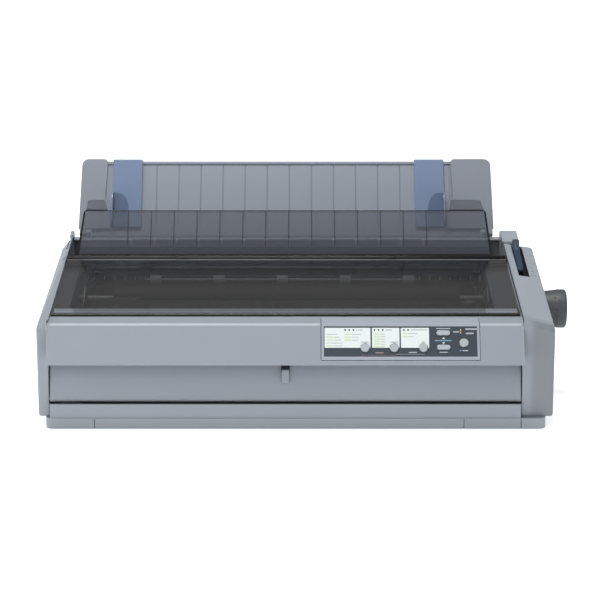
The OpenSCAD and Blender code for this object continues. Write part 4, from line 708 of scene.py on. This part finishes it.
# ---- Ribbon cartridge
# A long black cartridge in front of the head; its two arms carry the inked ribbon along
# the platen, and a knob on top takes up the slack.
cartridge_black = grained("cartridge_black", (0.014, 0.014, 0.015), (0.020, 0.020, 0.021), rough=0.3)
moulded("ribbon_cartridge", 0.6, cartridge_black)
ink = Finish("inked_cloth", Roughness=0.85)
weave = ink.noise(3000, 2)
ink.feed(Base_Color=ink.blend(weave, (0.006, 0.006, 0.010), (0.02, 0.02, 0.026)),
         Normal=ink.bump(weave, 0.4, 0.0001))
dress(ink.material, "ribbon")
moulded("ribbon_knob", 0.4, grained("ribbon_knob_grey", (0.16, 0.16, 0.17), (0.14, 0.14, 0.15), rough=0.4))

# ---- Paper bail
# A steel rod between two arms that holds the paper against the platen by small rubber
# rollers; a dark plastic strip with a scale of white ticks fills each end of the rod.
dress(plated("bail_steel", (0.20, 0.205, 0.21), 0.44), "paper_bail")
dress(grained("roller_grey", (0.30, 0.305, 0.31), (0.27, 0.275, 0.28), rough=0.55), "bail_rollers")
rollers_low, rollers_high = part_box("bail_rollers")
rod_y = (rollers_low[1] + rollers_high[1]) / 2
rod_z = (rollers_low[2] + rollers_high[2]) / 2
scale_strip = Finish("bail_scale", Roughness=0.4)
across, _, up = scale_strip.axes()
tick = ((across % 0.0127) < 0.0007) * (up > rod_z + 0.001)
scale_strip.feed(Base_Color=scale_strip.blend(tick, (0.05, 0.05, 0.052), (0.75, 0.75, 0.74)))
on_bail = sloped(rod_y, rod_z, math.radians(90))
rod_left, rod_right, roller_gap = -268, 214, 4
scale_low, scale_high, scale_back, scale_front = -3, 5, 1.9, 2.4
for side, x0, x1 in [("left", rod_left, 1000 * rollers_low[0] - roller_gap),
                     ("right", 1000 * rollers_high[0] + roller_gap, rod_right)]:
    strip = oblong(x0, scale_low, x1, scale_high)
    slab(f"bail_scale_{side}", strip, scale_back, scale_front, scale_strip.material, "bail", on_bail)

# ---- Tear-off guide
# A plate moulded in black plastic with ribs along the paper's way, behind the platen: it
# carries the paper up to the hinge.
moulded("tear_off_bar", 0.2, grained("guide_black", (0.03, 0.03, 0.032), (0.04, 0.04, 0.042), rough=0.35))

# ---- Tractors
# Two pin-feed tractors moulded in dark grey plastic, on a pair of steel shafts. Each has a
# hinged flap over its pins.
tractor_grey = grained("tractor_grey", (0.07, 0.075, 0.082), (0.06, 0.065, 0.072), rough=0.45)
moulded("left_tractor", 0.3, tractor_grey)
moulded("right_tractor", 0.3, tractor_grey)
flap_grey = grained("flap_grey", (0.11, 0.115, 0.125), (0.10, 0.105, 0.115), rough=0.4)
moulded("left_tractor_flap", 0.2, flap_grey)
moulded("right_tractor_flap", 0.2, flap_grey)
dress(hinge_steel, "tractor_shafts")

# ---- Sockets and switch
# Black and dark grey plastic: the mains inlet with its three blades and the interface
# sockets in the rear wall, and the power rocker in its housing on the left.
socket_black = grained("socket_black", (0.018, 0.018, 0.019), (0.024, 0.024, 0.025), rough=0.4)
moulded("power_inlet", 0.3, socket_black)
inlet_low, inlet_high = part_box("power_inlet")
inlet_x = 500 * (inlet_low[0] + inlet_high[0])
# millimetres: across, up, and forward from the row frame's zero
upright = sloped(0, 0, math.radians(90))
blade_half_width, blade_half_height = 1, 2
blade_rear, blade_front = -145.5, -127.2
for i, (x, z) in enumerate([(inlet_x, 47.5), (inlet_x - 7, 42.5), (inlet_x + 7, 42.5)]):
    blade = oblong(x - blade_half_width, z - blade_half_height,
                   x + blade_half_width, z + blade_half_height)
    slab(f"inlet_blade_{i + 1}", blade, blade_rear, blade_front, bright_steel, "base", upright)
socket_grey = grained("socket_grey", (0.10, 0.105, 0.11), (0.09, 0.095, 0.10), rough=0.42)
moulded("interface_sockets", 0.3, socket_grey)
moulded("switch_housing", 0.2, socket_black)
rocker_black = grained("rocker_black", (0.03, 0.03, 0.032), (0.025, 0.025, 0.027), rough=0.28)
moulded("power_switch", 0.3, rocker_black)

# ---- Feet and screws
# Four rubber feet stuck under the tray, and the plated screws that hold the two halves of
# the case together.
moulded("rubber_feet", 0.3, grained("foot_rubber", (0.02, 0.02, 0.02), (0.026, 0.026, 0.026), rough=0.8))
dress(bright_steel, "case_screws")
